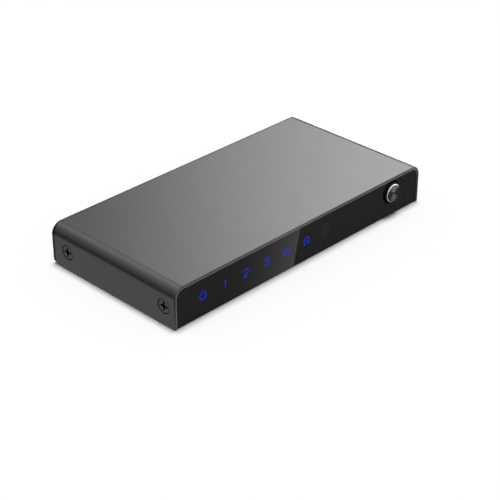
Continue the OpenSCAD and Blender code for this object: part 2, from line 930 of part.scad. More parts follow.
module push_switch_housing() {
    color([0.1, 0.1, 0.1]) at_switch() difference() {
        span(
            [-switch_w / 2, switch_y, -switch_axis_h],
            [switch_w / 2, switch_y + switch_d, switch_h - switch_axis_h]
        );
        turned_y(switch_y - over) cylinder(h = switch_wall + 2 * over, d = plunger_d + 2 * plunger_gap);
        turned_y(switch_y + switch_wall) cylinder(h = cavity_back - switch_y - switch_wall, r = cavity_r);
    }
}

module push_switch_bracket() {
    low = -switch_axis_h;
    high = switch_h - switch_axis_h;
    outer = switch_w / 2 + bracket_t;
    color("silver") at_switch() {
        difference() {
            span([-outer, switch_y - bracket_t, low], [outer, switch_y, high]);
            turned_y(switch_y - bracket_t - over)
                cylinder(h = bracket_t + 2 * over, d = plunger_d + 4 * plunger_gap);
        }
        both_sides() span([switch_w / 2, switch_y - bracket_t, low], [outer, switch_y + cheek_l, high]);
    }
}

module push_switch_plunger() {
    color("ivory") at_switch() {
        turned_y(switch_y - plunger_l) cylinder(h = plunger_l + rim_y - switch_y + rim_t, d = plunger_d);
        turned_y(rim_y) cylinder(h = rim_t, r = plunger_d / 2 + plunger_rim);
    }
}

module push_switch_dome() {
    base_r = cavity_r - dome_lap;
    ball_r = (base_r * base_r + dome_h * dome_h) / (2 * dome_h);
    color("silver") at_switch() turned_y(dome_y) intersection() {
        translate([0, 0, ball_r]) difference() {
            sphere(ball_r, $fn = 96);
            sphere(ball_r - dome_t, $fn = 96);
        }
        cylinder(h = dome_h, r = base_r + over);
    }
}

// Indicators and infrared receiver

module indicator_lamps() {
    color("lightblue") at_indicators() {
        span([-lamp_w / 2, lamp_y + lamp_d / 2, board_top], [lamp_w / 2, lamp_y + lamp_d, board_top + lamp_h]);
        translate([0, lamp_y + lamp_d / 2, board_top]) intersection() {
            cylinder(h = lamp_h, d = lamp_d);
            span([-lamp_d, -lamp_d, 0], [lamp_d, 0, lamp_h]);
        }
    }
}

module light_baffle() {
    edge = board_front - baffle_gap;
    color([0.12, 0.12, 0.12]) difference() {
        along_x(baffle_x, baffle_w)
            polygon([
                [baffle_y, baffle_z],
                [edge, baffle_z],
                [edge, board_top],
                [baffle_back, board_top],
                [baffle_back, baffle_top],
                [baffle_y, baffle_top]
            ]);
        at_indicators()
            span(
                [-cell_w / 2, baffle_y - over, board_top - window_under],
                [cell_w / 2, baffle_back - baffle_wall, board_top + window_over]
            );
    }
}

module light_diffuser() {
    color("white") along_y(panel_back, diffuser_t) window_outline(0);
}

module infrared_receiver() {
    y = board_front + ir_inset;
    color([0.15, 0.1, 0.12]) at_infrared() {
        span([-ir_w / 2, y, -ir_axis_h], [ir_w / 2, y + ir_d, ir_axis_h]);
        intersection() {
            translate([0, y, 0]) sphere(d = ir_lens_d);
            span([-ir_w, y - ir_lens_d, -ir_w], [ir_w, y + over, ir_w]);
        }
    }
}

module infrared_leads() {
    y = board_front + ir_inset + ir_d;
    low = -ir_axis_h;
    color("silver") at_infrared()
        for (i = [-1 : 1])
            along_x(i * lead_pitch - lead_t / 2, lead_t)
                polygon([
                    [y, low / 2],
                    [y, low / 2 - lead_t],
                    [y + lead_reach - lead_t, low / 2 - lead_t],
                    [y + lead_reach - lead_t, low],
                    [y + lead_reach, low],
                    [y + lead_reach, low / 2]
                ]);
}

// Parts on the board

// Flat package of the given size standing on the board at x, y
module board_package(x, y, size) {
    translate([x - size[0] / 2, y - size[1] / 2, board_top]) cube(size);
}

module switching_chip() {
    color([0.1, 0.1, 0.1]) board_package(chip_x, chip_y, [chip_w, chip_w, chip_t]);
}

module thermal_pad() {
    color("lightgray") translate([0, 0, chip_t]) board_package(chip_x, chip_y, [chip_w, chip_w, pad_t]);
}

module heat_sink() {
    base_z = board_top + chip_t + pad_t;
    fin_top = inner_top - sink_gap;
    step = (sink_w - fin_t) / (fin_count - 1);
    color([0.2, 0.2, 0.2]) translate([chip_x - sink_w / 2, chip_y - sink_w / 2, base_z]) {
        cube([sink_w, sink_w, sink_base_t]);
        for (i = [0 : fin_count - 1])
            translate([i * step, 0, 0]) cube([fin_t, sink_w, fin_top - base_z]);
    }
}

module control_chip() {
    color([0.1, 0.1, 0.1]) board_package(board_w / 2 - control_inset, control_y, control_size);
}

// The crystal stands beside the control chip
module crystal() {
    x = board_w / 2 - control_inset + (control_size[0] + crystal_w) / 2 + crystal_gap;
    color("silver") translate([x, control_y, board_top])
        linear_extrude(crystal_h) rounded_rect(crystal_w, crystal_l, crystal_r);
}

module voltage_regulator() {
    color([0.1, 0.1, 0.1]) board_package(board_w / 2 - regulator_inset, regulator_y, regulator_size);
}

module coil() {
    color("dimgray") translate([board_w / 2 - coil_inset, coil_y, board_top]) {
        linear_extrude(coil_h) rounded_rect(coil_w, coil_w, coil_r);
        translate([0, 0, coil_h]) cylinder(h = coil_core_h, d = coil_core_d);
    }
}

module can_capacitors() {
    base_w = can_d + 2 * can_base_lap;
    color("lightgray")
        for (y = can_places)
            translate([board_w / 2 - can_inset, y, board_top]) {
                linear_extrude(can_base_t) rounded_rect(base_w, base_w, can_base_r);
                translate([0, 0, can_base_t]) cylinder(h = can_h - can_base_t, d = can_d);
            }
}

module chip_capacitors() {
    color("tan")
        for (side = [-1, 1], i = [0 : ceramic_count - 1])
            board_package(
                chip_x + (i - (ceramic_count - 1) / 2) * ceramic_pitch,
                chip_y + side * (sink_w / 2 + ceramic_gap),
                ceramic_size
            );
}

module surge_arrays() {
    color([0.1, 0.1, 0.1])
        for (i = [0 : socket_count - 1], side = [-1, 1])
            translate([socket_inset - i * socket_pitch, 0, 0])
                board_package(side * surge_x, shell_back - surge_gap, surge_size);
}

top_cover();
base_tray();
cover_screws();
rubber_feet();
front_panel();
panel_adhesive();
main_board();
board_standoffs();
board_screws();
hdmi_out_shell();
hdmi_out_tongue();
hdmi_out_contacts();
hdmi_in_1_shell();
hdmi_in_1_tongue();
hdmi_in_1_contacts();
hdmi_in_2_shell();
hdmi_in_2_tongue();
hdmi_in_2_contacts();
hdmi_in_3_shell();
hdmi_in_3_tongue();
hdmi_in_3_contacts();
power_socket_housing();
power_socket_pin();
power_socket_spring();
select_button_cap();
select_button_stem();
push_switch_housing();
push_switch_bracket();
push_switch_plunger();
push_switch_dome();
indicator_lamps();
light_baffle();
light_diffuser();
infrared_receiver();
infrared_leads();
switching_chip();
thermal_pad();
heat_sink();
control_chip();
crystal();
voltage_regulator();
coil();
can_capacitors();
chip_capacitors();
surge_arrays();
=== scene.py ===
"""Looks of a low video switch box: a bent sheet cover, a gloss front panel with lit signs,
a spun metal button and a row of sockets at the rear. Lengths are in metres, in the frame's axes."""

import json
import math

import bmesh
import bpy
from bpy.props import FloatProperty, FloatVectorProperty, IntProperty, PointerProperty
from mathutils import Matrix, Vector


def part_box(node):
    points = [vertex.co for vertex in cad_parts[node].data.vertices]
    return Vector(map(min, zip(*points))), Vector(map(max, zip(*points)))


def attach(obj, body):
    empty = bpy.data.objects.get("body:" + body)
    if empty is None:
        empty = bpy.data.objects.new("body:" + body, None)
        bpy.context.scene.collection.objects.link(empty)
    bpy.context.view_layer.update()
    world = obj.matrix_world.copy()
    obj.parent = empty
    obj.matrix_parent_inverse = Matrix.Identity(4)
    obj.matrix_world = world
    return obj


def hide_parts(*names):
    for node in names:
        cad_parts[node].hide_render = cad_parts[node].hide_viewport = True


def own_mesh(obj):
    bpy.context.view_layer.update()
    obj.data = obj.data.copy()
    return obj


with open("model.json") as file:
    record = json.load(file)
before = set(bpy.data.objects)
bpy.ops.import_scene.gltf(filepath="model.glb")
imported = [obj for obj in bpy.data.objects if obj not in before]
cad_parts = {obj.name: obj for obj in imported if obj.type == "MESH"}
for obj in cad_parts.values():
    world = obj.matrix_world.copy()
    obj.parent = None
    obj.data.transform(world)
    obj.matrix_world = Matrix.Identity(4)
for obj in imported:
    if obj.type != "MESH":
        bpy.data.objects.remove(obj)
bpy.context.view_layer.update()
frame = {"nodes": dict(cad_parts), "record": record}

bl_info = {
    "name": "Video switch box",
    "version": (1, 0, 0),
    "blender": (4, 5, 0),
    "location": "View3D > Sidebar > Switch box",
    "description": "Builds the visible pieces, finishes and stage of a video switch box",
    "category": "Object",
}

MM = 0.001
FULL_TURN = 2 * math.pi
RIGHT_ANGLE = math.radians(90)
# Distance within which points are merged
MERGE = 1e-7
# How far a cutter reaches past what it cuts
OVERRUN = 0.5 * MM
# Faces round a turned shape
ROUND_STEPS = 96
# Angle between faces from which their edge is sharp
CREASE = math.radians(30)
# Signs on the front panel, one in front of each lamp
SIGN_COUNT = 6
# Turns a shape drawn in XY with its height along Z so that it stands upright and faces the front
FACING_FRONT = Matrix.Rotation(RIGHT_ANGLE, 4, "X")
# Keeps the part of a vector that lies in the front panel's plane
IN_PANEL = (1, 0, 1)
# Keeps the part of a vector that lies in the plane of the cover's sides
IN_SIDE = (0, 1, 1)
# Mean of a noise texture
NOISE_MEAN = 0.5
# Spacing of nodes in the shader editor, and how many stand in a row
NODE_STEP = (180, 220)
NODES_IN_ROW = 12
# Stretch of the fine lines of metal drawn along X or Y, or turned about Z
ALONG_X = (150.0, 7000.0, 7000.0)
ALONG_Y = (7000.0, 150.0, 7000.0)
ABOUT_Z = (3000.0, 3000.0, 9000.0)


# Properties

def length(name, description, default):
    """A length that a user may change."""
    return FloatProperty(
        name=name, description=description, default=default, min=0.0, precision=5, unit="LENGTH"
    )


def share(name, description, default):
    """A share from 0 to 1 that a user may change."""
    return FloatProperty(
        name=name, description=description, default=default, min=0.0, max=1.0, subtype="FACTOR"
    )


def angle(name, description, degrees):
    """An angle that a user may change."""
    return FloatProperty(name=name, description=description, default=math.radians(degrees), subtype="ANGLE")


def strength(name, description, default):
    """A light strength that a user may change."""
    return FloatProperty(name=name, description=description, default=default, min=0.0)


def colour(name, description, default):
    """A colour that a user may change."""
    return FloatVectorProperty(
        name=name, description=description, default=default, size=3, min=0.0, max=1.0, subtype="COLOR"
    )


class CoverProps(bpy.types.PropertyGroup):
    """Sizes and colours of the sheet cover"""

    sheet: length("Sheet", "Thickness of the cover sheet", 1.5 * MM)
    bend: length("Bend", "Outside radius of the bend along each side", 4.75 * MM)
    bend_steps: IntProperty(name="Bend steps", description="Faces across each bend", default=20, min=4)
    front_bevel: length("Front bevel", "Bevel along the outer front edge", 0.1 * MM)
    rear_round: length("Rear rounding", "Rounding along the outer rear edge", 0.1 * MM)
    cut_length: length("Cut length", "Length of the cut at each rear lower corner", 3.5 * MM)
    cut_height: length("Cut height", "Height of the cut at each rear lower corner", 1.3 * MM)
    sink_gap: length("Countersink gap", "Room between a screw head and its countersink", 0.33 * MM)
    hole_radius: length("Hole radius", "Radius of each screw hole", 1.7 * MM)
    coat: colour("Coat", "Colour of the satin coat", (0.112, 0.113, 0.115))
    bare: colour("Bare metal", "Colour where the coat is rubbed thin", (0.2, 0.2, 0.205))
    rim: colour("Rim", "Colour of the cut rim next to the front panel", (0.168, 0.168, 0.171))
    # Painted shade: the rim's outer part is dimmed as if in shade, and darkened further in the bend
    rim_shade: colour("Rim shade", "Colour of the rim's softened outer part", (0.068, 0.068, 0.07))
    rim_from: length("Rim start", "Depth in the sheet where the rim's pale part starts", 0.75 * MM)
    rim_to: length("Rim end", "Depth in the sheet where the rim's pale part ends", 1.28 * MM)
    # Painted shade: a dark line down the rear edge and along it on the top, standing for shade on the
    # rounded edge; it also darkens the front rim in the bend
    line: colour("Rear line", "Colour of the dark line along the rear edge", (0.018, 0.018, 0.019))
    line_width: length("Line width", "Width of the dark line down the rear edge of each side", 1.45 * MM)
    # Painted shade in the countersinks and in the gap between the front rim and the panel
    recess_shade: colour("Countersink", "Colour of the countersinks' walls", (0.012, 0.012, 0.012))
    roughness: share("Roughness", "Roughness of the satin coat", 0.3)


class PanelProps(bpy.types.PropertyGroup):
    """Sizes and colours of the front panel"""

    corner: length("Corner", "Radius of the upper corners", 3.15 * MM)
    corner_steps: IntProperty(name="Corner steps", description="Faces round each corner", default=14, min=3)
    edge: length("Edge", "Rounding of the panel's front edge", 0.05 * MM)
    hole_gap: length("Hole gap", "Room between the button and its hole", 0.5 * MM)
    hole_bevel: length("Hole bevel", "Bevel at the mouth of the hole", 0.25 * MM)
    tint: colour("Tint", "Colour of the gloss panel", (0.0172, 0.0172, 0.0174))
    # Painted shade: the button hole's wall and bevelled mouth are near black and dull
    hole: colour("Hole", "Colour of the button hole's wall", (0.001, 0.001, 0.001))
    window: colour("Window", "Colour of the infrared window", (0.026, 0.025, 0.026))
    window_radius: length("Window radius", "Radius of the infrared window", 2.9 * MM)


class SignProps(bpy.types.PropertyGroup):
    """Sizes and colours of the lit signs"""

    stroke: length("Stroke", "Width of the lines", 0.28 * MM)
    thin: share("Thin", "Width of the numbers' lines next to the other signs' lines", 0.8)
    digit_height: length("Digit height", "Height of the numbers over their lines' middles", 3.3 * MM)
    ring: length("Ring", "Radius of the power sign's ring", 1.6 * MM)
    loop: length("Loop", "Radius of the two round signs", 1.55 * MM)
    drop: length("Drop", "Depth of the signs' middle below the button's axis", 1.85 * MM)
    aside: length("Aside", "Distance of the signs to the right of their lamps", 0.14 * MM)
    film: length("Film", "Thickness of the signs", 0.03 * MM)
    unlit: colour("Unlit colour", "Colour of the print itself", (0.001, 0.002, 0.02))
    glow_colour: colour("Glow colour", "Colour of the lit signs", (0.002, 0.03, 0.8))
    glow: strength("Glow", "Strength of the light", 1.4)


class ButtonProps(bpy.types.PropertyGroup):
    """Sizes and colours of the select button"""

    bevel: length("Bevel", "Width of the polished bevel", 0.25 * MM)
    shoulder: length("Shoulder", "Width of the dark shoulder outside the polished bevel", 0.45 * MM)
    crisp: length("Crisp edge", "Rounding of the bevel's edges", 0.06 * MM)
    bore: length("Bore", "Radius of the bore that holds the stem", 2.03 * MM)
    bore_depth: length("Bore depth", "Depth of the bore from the rear", 2.03 * MM)
    pitch: length("Groove pitch", "Distance between the turned grooves", 0.05 * MM)
    slope: share("Groove slope", "Steepness of the turned grooves", 0.66)
    cone: share("Cone", "Steepness of the face's slight cone", 0.04)
    metal: colour("Metal", "Colour of the button's face", (0.092, 0.091, 0.106))
    polish: colour("Polish", "Colour of the polished bevel", (0.97, 0.97, 0.98))
    # Painted shade: the cap's side and the shoulder outside the bevel are near black, for the shadow in the
    # gap round the cap
    side: colour("Side", "Colour of the button's dark side", (0.004, 0.004, 0.004))


class ScrewProps(bpy.types.PropertyGroup):
    """Sizes and colours of the cover screws"""

    thread: length("Thread", "Radius of the thread", 1.5 * MM)
    screw_length: length("Length", "Length from the cover's side to the tip", 6.0 * MM)
    rim: length("Rim", "Rounding of the head's edge", 0.12 * MM)
    arm: length("Cross arm", "Length of the cross from end to end", 4.1 * MM)
    slot: length("Cross slot", "Width of the cross's slots", 1.0 * MM)
    depth: length("Cross depth", "Depth of the cross", 1.0 * MM)
    lip: length("Cross lip", "Height of the cross's cutter over the head", 0.06 * MM)
    taper: share("Cross taper", "Size of the cross's floor next to its mouth", 0.5)
    metal: colour("Metal", "Colour of the blackened steel", (0.12, 0.12, 0.123))
    # Painted shade deep in the cross and on the lower part of the head's rounded rim
    cross_shade: colour("Cross shade", "Colour deep in the cross", (0.004, 0.004, 0.004))


class DomeProps(bpy.types.PropertyGroup):
    """Sizes and colours of the push switch's snap dome"""

    sheet: length("Sheet", "Thickness of the dome", 0.12 * MM)
    pressed: share("Pressed height", "Share of the dome's height that is left when it is pressed", 0.32)
    steel: colour("Steel", "Colour of the spring steel", (0.6, 0.6, 0.62))


class FootProps(bpy.types.PropertyGroup):
    """Sizes and colours of the feet"""

    radius: length("Radius", "Radius of each foot", 4.5 * MM)
    rounding: length("Rounding", "Rounding of each foot's lower edge", 0.3 * MM)
    rubber: colour("Rubber", "Colour of the feet", (0.018, 0.018, 0.019))


class StageProps(bpy.types.PropertyGroup):
    """Floor, light and camera"""

    floor: colour("Floor", "Colour of the floor", (0.92, 0.92, 0.92))
    floor_level: length("Floor level", "How far the soft feet sink into the floor", 0.3 * MM)
    key: strength("Key", "Strength of the broad light overhead", 2.72)
    key_spread: angle("Key spread", "Apparent width of the overhead light", 19.0)
    key_lean: FloatVectorProperty(
        name="Key lean", description="Lean of the overhead light to the right and to the rear",
        default=(math.radians(4.5), math.radians(3.2)), size=2, subtype="EULER",
    )
    sky: strength("Sky", "Strength of the light from all round", 0.24)
    side_card: strength("Side card", "Strength of the bright card at the right", 3.5)
    azimuth: angle("Azimuth", "Camera's turn about the upright axis", -45.5286)
    elevation: angle("Elevation", "Camera's height above the horizon", 30.4135)
    lens: FloatProperty(name="Lens", description="Focal length", default=104.395, min=1.0, unit="CAMERA")
    camera_place: FloatVectorProperty(
        name="Camera place", description="Place of the camera", default=(-0.365012, -0.362731, 0.293067),
        size=3, subtype="TRANSLATION",
    )


PROPERTY_GROUPS = {
    "switch_box_cover": CoverProps,
    "switch_box_panel": PanelProps,
    "switch_box_signs": SignProps,
    "switch_box_button": ButtonProps,
    "switch_box_screws": ScrewProps,
    "switch_box_dome": DomeProps,
    "switch_box_feet": FootProps,
    "switch_box_stage": StageProps,
}


# Places read from the frame

def middle(node_name):
    """Middle of a CAD node's box."""
    low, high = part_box(node_name)
    return (low + high) / 2


def screw_places():
    """Head radius of the cover screws and the places of their axes on the two sides."""
    low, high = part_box("cover_screws")
    side_low, side_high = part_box("top_cover")
    radius = (high.z - low.z) / 2
    places = [
        (side, Vector((x, y, (low.z + high.z) / 2)))
        for side, x in ((-1, side_low.x), (1, side_high.x))
        for y in (low.y + radius, high.y - radius)
    ]
    return radius, places


def head_depth():
    """How far the screw heads lie under the cover's sides."""
    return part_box("top_cover")[1].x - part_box("cover_screws")[1].x


def cap_radius():
    """Radius of the select button's cap."""
    low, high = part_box("select_button_cap")
    return (high.x - low.x) / 2


def sign_places():
    """Middles of the signs on the panel's face, one in front of each lamp."""
    sizes = bpy.context.scene.switch_box_signs
    low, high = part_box("indicator_lamps")
    half_lamp = 1.0 * MM
    first = low.x + half_lamp
    pitch = (high.x - half_lamp - first) / (SIGN_COUNT - 1)
    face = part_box("front_panel")[0].y
    height = middle("select_button_cap").z - sizes.drop
    return [Vector((first + sizes.aside + index * pitch, face, height)) for index in range(SIGN_COUNT)]


# Mesh helpers

def chain(bm, points):
    """A line of edges through points."""
    verts = [bm.verts.new(point) for point in points]
    for pair in zip(verts, verts[1:]):
        bm.edges.new(pair)
    return verts


def verts_of(geometry):
    """The vertices in what an operator returns."""
    return [item for item in geometry if isinstance(item, bmesh.types.BMVert)]


def cleaned(bm):
    """Merge doubles and point the faces outwards."""
    bmesh.ops.remove_doubles(bm, verts=bm.verts[:], dist=MERGE)
    bmesh.ops.dissolve_degenerate(bm, edges=bm.edges[:], dist=MERGE)
    bmesh.ops.recalc_face_normals(bm, faces=bm.faces[:])
    return bm


def bevelled(bm, geometry, offset, affect, segments):
    """Round or bevel some vertices or edges."""
    bmesh.ops.bevel(
        bm, geom=geometry, offset=offset, offset_type="OFFSET", affect=affect, segments=segments,
        profile=0.5, material=-1,
    )


def turned(profile, rounding=0.0, rounded=(), steps=ROUND_STEPS):
    """A shape turned about Z from (radius, height) pairs, with some corners of the profile rounded."""
    bm = bmesh.new()
    verts = chain(bm, [(radius, 0, height) for radius, height in profile])
    if rounding:
        bevelled(bm, [verts[index] for index in rounded], rounding, "VERTICES", segments=4)
    bmesh.ops.spin(
        bm, geom=bm.verts[:] + bm.edges[:], cent=(0, 0, 0), axis=(0, 0, 1), angle=FULL_TURN,
        steps=steps, use_merge=True,
    )
    return cleaned(bm)


def placed(bm, matrix):
    """Move a shape to its place."""
    bmesh.ops.transform(bm, matrix=matrix, verts=bm.verts[:])
    return bm


def facing_front(bm, node_name, depth):
    """Turn a shape to the front, on the axis of a CAD node and with its origin at a depth."""
    centre = middle(node_name)
    return placed(bm, Matrix.Translation((centre.x, depth, centre.z)) @ FACING_FRONT)


def copies(bm, matrices):
    """One mesh with a copy of the shape at each matrix."""
    shape = bpy.data.meshes.new("shape")
    bm.to_mesh(shape)
    bm.free()
    together = bmesh.new()
    for matrix in matrices:
        start = len(together.verts)
        together.from_mesh(shape)
        together.verts.ensure_lookup_table()
        bmesh.ops.transform(together, matrix=matrix, verts=together.verts[start:])
    bpy.data.meshes.remove(shape)
    bmesh.ops.recalc_face_normals(together, faces=together.faces[:])
    return together


def at_screws(bm):
    """Copies of a shape at the four cover screws, with Z out of the cover's sides."""
    return copies(bm, [
        Matrix.Translation(place) @ Matrix.Rotation(side * RIGHT_ANGLE, 4, "Y")
        for side, place in screw_places()[1]
    ])


def added(name, bm):
    """A new object with the shape as its mesh."""
    mesh = bpy.data.meshes.new(name)
    bm.to_mesh(mesh)
    bm.free()
    piece = bpy.data.objects.new(name, mesh)
    bpy.context.scene.collection.objects.link(piece)
    return piece


def carved(piece, cutter_bm):
    """Cut a shape out of a piece."""
    cutter = added("cutter", cutter_bm)
    cut = piece.modifiers.new("Cut", "BOOLEAN")
    cut.operation = "DIFFERENCE"
    cut.solver = "EXACT"
    cut.object = cutter
    graph = bpy.context.evaluated_depsgraph_get()
    carved_mesh = bpy.data.meshes.new_from_object(piece.evaluated_get(graph))
    whole = piece.data
    piece.modifiers.clear()
    piece.data = carved_mesh
    carved_mesh.name = piece.name
    bpy.data.meshes.remove(whole)
    bpy.data.objects.remove(cutter)
    return piece


def finished(piece, materials, body, node=None):
    """Shade a piece, give it its materials, and set it on its body in place of a CAD node."""
    if not piece.data.polygons:
        raise RuntimeError(f"{piece.name} has no faces")
    piece.data.shade_smooth()
    piece.data.set_sharp_from_angle(angle=CREASE)
    for material in materials:
        piece.data.materials.append(material)
    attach(piece, body)
    if node:
        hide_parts(node)
    normals = piece.modifiers.new("Normals", "WEIGHTED_NORMAL")
    normals.keep_sharp = True
    return piece


# Node helpers

def fill(tree, node, inputs):
    """Set a node's inputs to values, or link them to sockets."""
    for socket, value in inputs.items():
        if isinstance(value, bpy.types.NodeSocket):
            tree.links.new(value, node.inputs[socket])
        else:
            node.inputs[socket].default_value = value


def add_node(tree, kind, inputs=None, **settings):
    """A node with its settings and its inputs."""
    made = tree.nodes.new(kind)
    row, column = divmod(len(tree.nodes), NODES_IN_ROW)
    made.location = (NODE_STEP[0] * column, -NODE_STEP[1] * row)
    for key, value in settings.items():
        setattr(made, key, value)
    fill(tree, made, inputs or {})
    return made


def math_node(tree, operation, *values):
    """Output of a math node."""
    return add_node(tree, "ShaderNodeMath", dict(enumerate(values)), operation=operation).outputs[0]


def vector_node(tree, operation, *values):
    """Output of a vector math node."""
    made = add_node(tree, "ShaderNodeVectorMath", dict(enumerate(values)), operation=operation)
    return made.outputs["Value" if operation in ("LENGTH", "DOT_PRODUCT") else "Vector"]


def ramp(tree, value, low, high, to_low=0.0, to_high=1.0, smooth=False):
    """A value mapped from one range to another, held at its ends."""
    return add_node(
        tree, "ShaderNodeMapRange",
        {"Value": value, "From Min": low, "From Max": high, "To Min": to_low, "To Max": to_high},
        interpolation_type="SMOOTHSTEP" if smooth else "LINEAR",
    ).outputs["Result"]


def fall(tree, value, low, high, smooth=False):
    """A mask that falls from 1 to 0 over a range."""
    return ramp(tree, value, low, high, 1.0, 0.0, smooth)


def blend_colour(tree, factor, first, second, mode="MIX"):
    """Two colours mixed by a factor."""
    inputs = {0: factor, 6: first, 7: second}
    made = add_node(tree, "ShaderNodeMix", inputs, data_type="RGBA", blend_type=mode, clamp_factor=True)
    return made.outputs[2]


def blend_value(tree, factor, first, second):
    """Two values mixed by a factor."""
    return add_node(tree, "ShaderNodeMix", {0: factor, 2: first, 3: second}, data_type="FLOAT").outputs[0]


def noise(tree, place, scale, detail):
    """Value of a noise texture."""
    inputs = {"Vector": place, "Scale": scale, "Detail": detail}
    return add_node(tree, "ShaderNodeTexNoise", inputs).outputs[0]


def object_place(tree):
    """The place on the piece, which is its place in the frame."""
    return add_node(tree, "ShaderNodeTexCoord").outputs["Object"]


def place_parts(tree):
    """X, Y and Z of the place on the piece."""
    return add_node(tree, "ShaderNodeSeparateXYZ", {0: object_place(tree)}).outputs


def offset_from(tree, centre, kept_axes):
    """Vector from a centre to the place on the piece, along the kept axes."""
    offset = vector_node(tree, "SUBTRACT", object_place(tree), centre)
    return vector_node(tree, "MULTIPLY", offset, kept_axes)


def opaque(rgb):
    """A colour with full alpha."""
    return (*rgb, 1.0)


def new_group(name, inputs, outputs):
    """An empty shader node group with its sockets, and its input and output nodes."""
    group = bpy.data.node_groups.new(name, "ShaderNodeTree")
    for socket, kind, default in inputs:
        made = group.interface.new_socket(socket, in_out="INPUT", socket_type=kind)
        made.default_value = default
    for socket in outputs:
        group.interface.new_socket(socket, in_out="OUTPUT", socket_type="NodeSocketFloat")
    return group, add_node(group, "NodeGroupInput").outputs, add_node(group, "NodeGroupOutput")


def grain_group(name):
    """Fine speckle and broad blotches of a coated, moulded or cast surface."""
    group, given, out = new_group(
        name,
        [("Scale", "NodeSocketFloat", 4000.0), ("Contrast", "NodeSocketFloat", 0.1)],
        ["Shade", "Blotch", "Height"],
    )
    grains_in_blotch = 45.0
    place = object_place(group)
    fine = noise(group, place, given["Scale"], detail=3.0)
    broad_scale = math_node(group, "DIVIDE", given["Scale"], grains_in_blotch)
    broad = noise(group, place, broad_scale, detail=4.0)
    centred = math_node(group, "SUBTRACT", fine, NOISE_MEAN)
    swing = math_node(group, "MULTIPLY", centred, given["Contrast"])
    broad_centred = math_node(group, "SUBTRACT", broad, NOISE_MEAN)
    fill(group, out, {
        "Shade": math_node(group, "MULTIPLY_ADD", swing, 2.0, 1.0),
        "Blotch": math_node(group, "MULTIPLY", broad_centred, given["Contrast"]),
        "Height": fine,
    })
    return group


def edge_wear_group(name):
    """Mask of the straight edges of a box, broken up as rubbed edges are."""
    group, given, out = new_group(
        name,
        [("Centre", "NodeSocketVector", (0, 0, 0)), ("Half size", "NodeSocketVector", (1, 1, 1)),
         ("Width", "NodeSocketFloat", 0.3 * MM), ("Breakup", "NodeSocketFloat", 900.0)],
        ["Mask"],
    )
    place = object_place(group)
    reach = vector_node(group, "ABSOLUTE", vector_node(group, "SUBTRACT", place, given["Centre"]))
    past = vector_node(group, "SUBTRACT", reach, given["Half size"])
    x, y, z = add_node(group, "ShaderNodeSeparateXYZ", {0: past}).outputs
    upper = math_node(group, "MINIMUM", math_node(group, "MAXIMUM", x, y), z)
    second = math_node(group, "MAXIMUM", math_node(group, "MINIMUM", x, y), upper)
    inward = math_node(group, "DIVIDE", math_node(group, "MULTIPLY", second, -1.0), given["Width"])
    near = fall(group, inward, 0.0, 1.0, smooth=True)
    patches = noise(group, place, given["Breakup"], detail=3.0)
    broken = ramp(group, patches, low=0.38, high=0.62, to_low=0.25, to_high=1.0)
    fill(group, out, {"Mask": math_node(group, "MULTIPLY", near, broken)})
    return group


def drawn_lines_group(name):
    """Fine lines along one direction, as rolled or drawn metal has."""
    group, given, out = new_group(name, [("Stretch", "NodeSocketVector", (6000, 120, 6000))], ["Lines"])
    scaled = vector_node(group, "MULTIPLY", object_place(group), given["Stretch"])
    fill(group, out, {"Lines": noise(group, scaled, 1.0, detail=2.0)})
    return group


GROUPS = {"Fine grain": grain_group, "Edge wear": edge_wear_group, "Drawn lines": drawn_lines_group}


def use_group(tree, name, **inputs):
    """Outputs of a shared node group with its values; the group is built at its first use."""
    group = bpy.data.node_groups.get(name) or GROUPS[name](name)
    named = {socket.replace("_", " ").capitalize(): value for socket, value in inputs.items()}
    return add_node(tree, "ShaderNodeGroup", named, node_tree=group).outputs


# Materials

def start_material(name):
    """A new node material with its tree and its Principled BSDF."""
    material = bpy.data.materials.new(name)
    material.use_nodes = True
    return material, material.node_tree, material.node_tree.nodes["Principled BSDF"]


def relief(tree, height, depth, weight=1.0):
    """Normal with a relief of a given depth from a height."""
    inputs = {"Height": height, "Strength": weight, "Distance": depth}
    return add_node(tree, "ShaderNodeBump", inputs).outputs[0]


def shaded(tree, shade, rgb):
    """A colour made lighter and darker by a shade."""
    grey = add_node(tree, "ShaderNodeCombineColor", {0: shade, 1: shade, 2: shade})
    return blend_colour(tree, 1.0, grey.outputs[0], opaque(rgb), "MULTIPLY")


def near_screws(tree, reach):
    """Mask of the round places within reach of the cover screws' axes."""
    soft = 0.05 * MM
    masks = []
    for y, z in {(place.y, place.z) for side, place in screw_places()[1]}:
        distance = vector_node(tree, "LENGTH", offset_from(tree, (0, y, z), IN_SIDE))
        masks.append(fall(tree, distance, reach - soft, reach + soft))
    return math_node(tree, "MAXIMUM", *masks)


def sheet_depth(tree, split, look):
    """How far a place on the front end lies inside the cover's outer outline."""
    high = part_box("top_cover")[1]
    across = math_node(tree, "SUBTRACT", math_node(tree, "ABSOLUTE", split[0]), high.x - look.bend)
    up = math_node(tree, "SUBTRACT", split[2], high.z - look.bend)
    past = [math_node(tree, "MAXIMUM", distance, 0.0) for distance in (across, up)]
    corner = add_node(tree, "ShaderNodeCombineXYZ", dict(enumerate(past))).outputs[0]
    flat = math_node(tree, "MINIMUM", math_node(tree, "MAXIMUM", across, up), 0.0)
    reach = math_node(tree, "ADD", vector_node(tree, "LENGTH", corner), flat)
    return math_node(tree, "SUBTRACT", look.bend, reach)


def rear_edge_shade_mask(tree, split, look):
    """Mask of the painted shade line along the rear edge, half as wide on the top as on the sides."""
    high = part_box("top_cover")[1]
    narrowing = (high.z - 2.5 * MM, high.z - 0.1 * MM)
    width = ramp(tree, split[2], *narrowing, look.line_width, look.line_width / 2)
    inwards = math_node(tree, "DIVIDE", math_node(tree, "SUBTRACT", high.y, split[1]), width)
    return fall(tree, inwards, low=0.8, high=1.1)


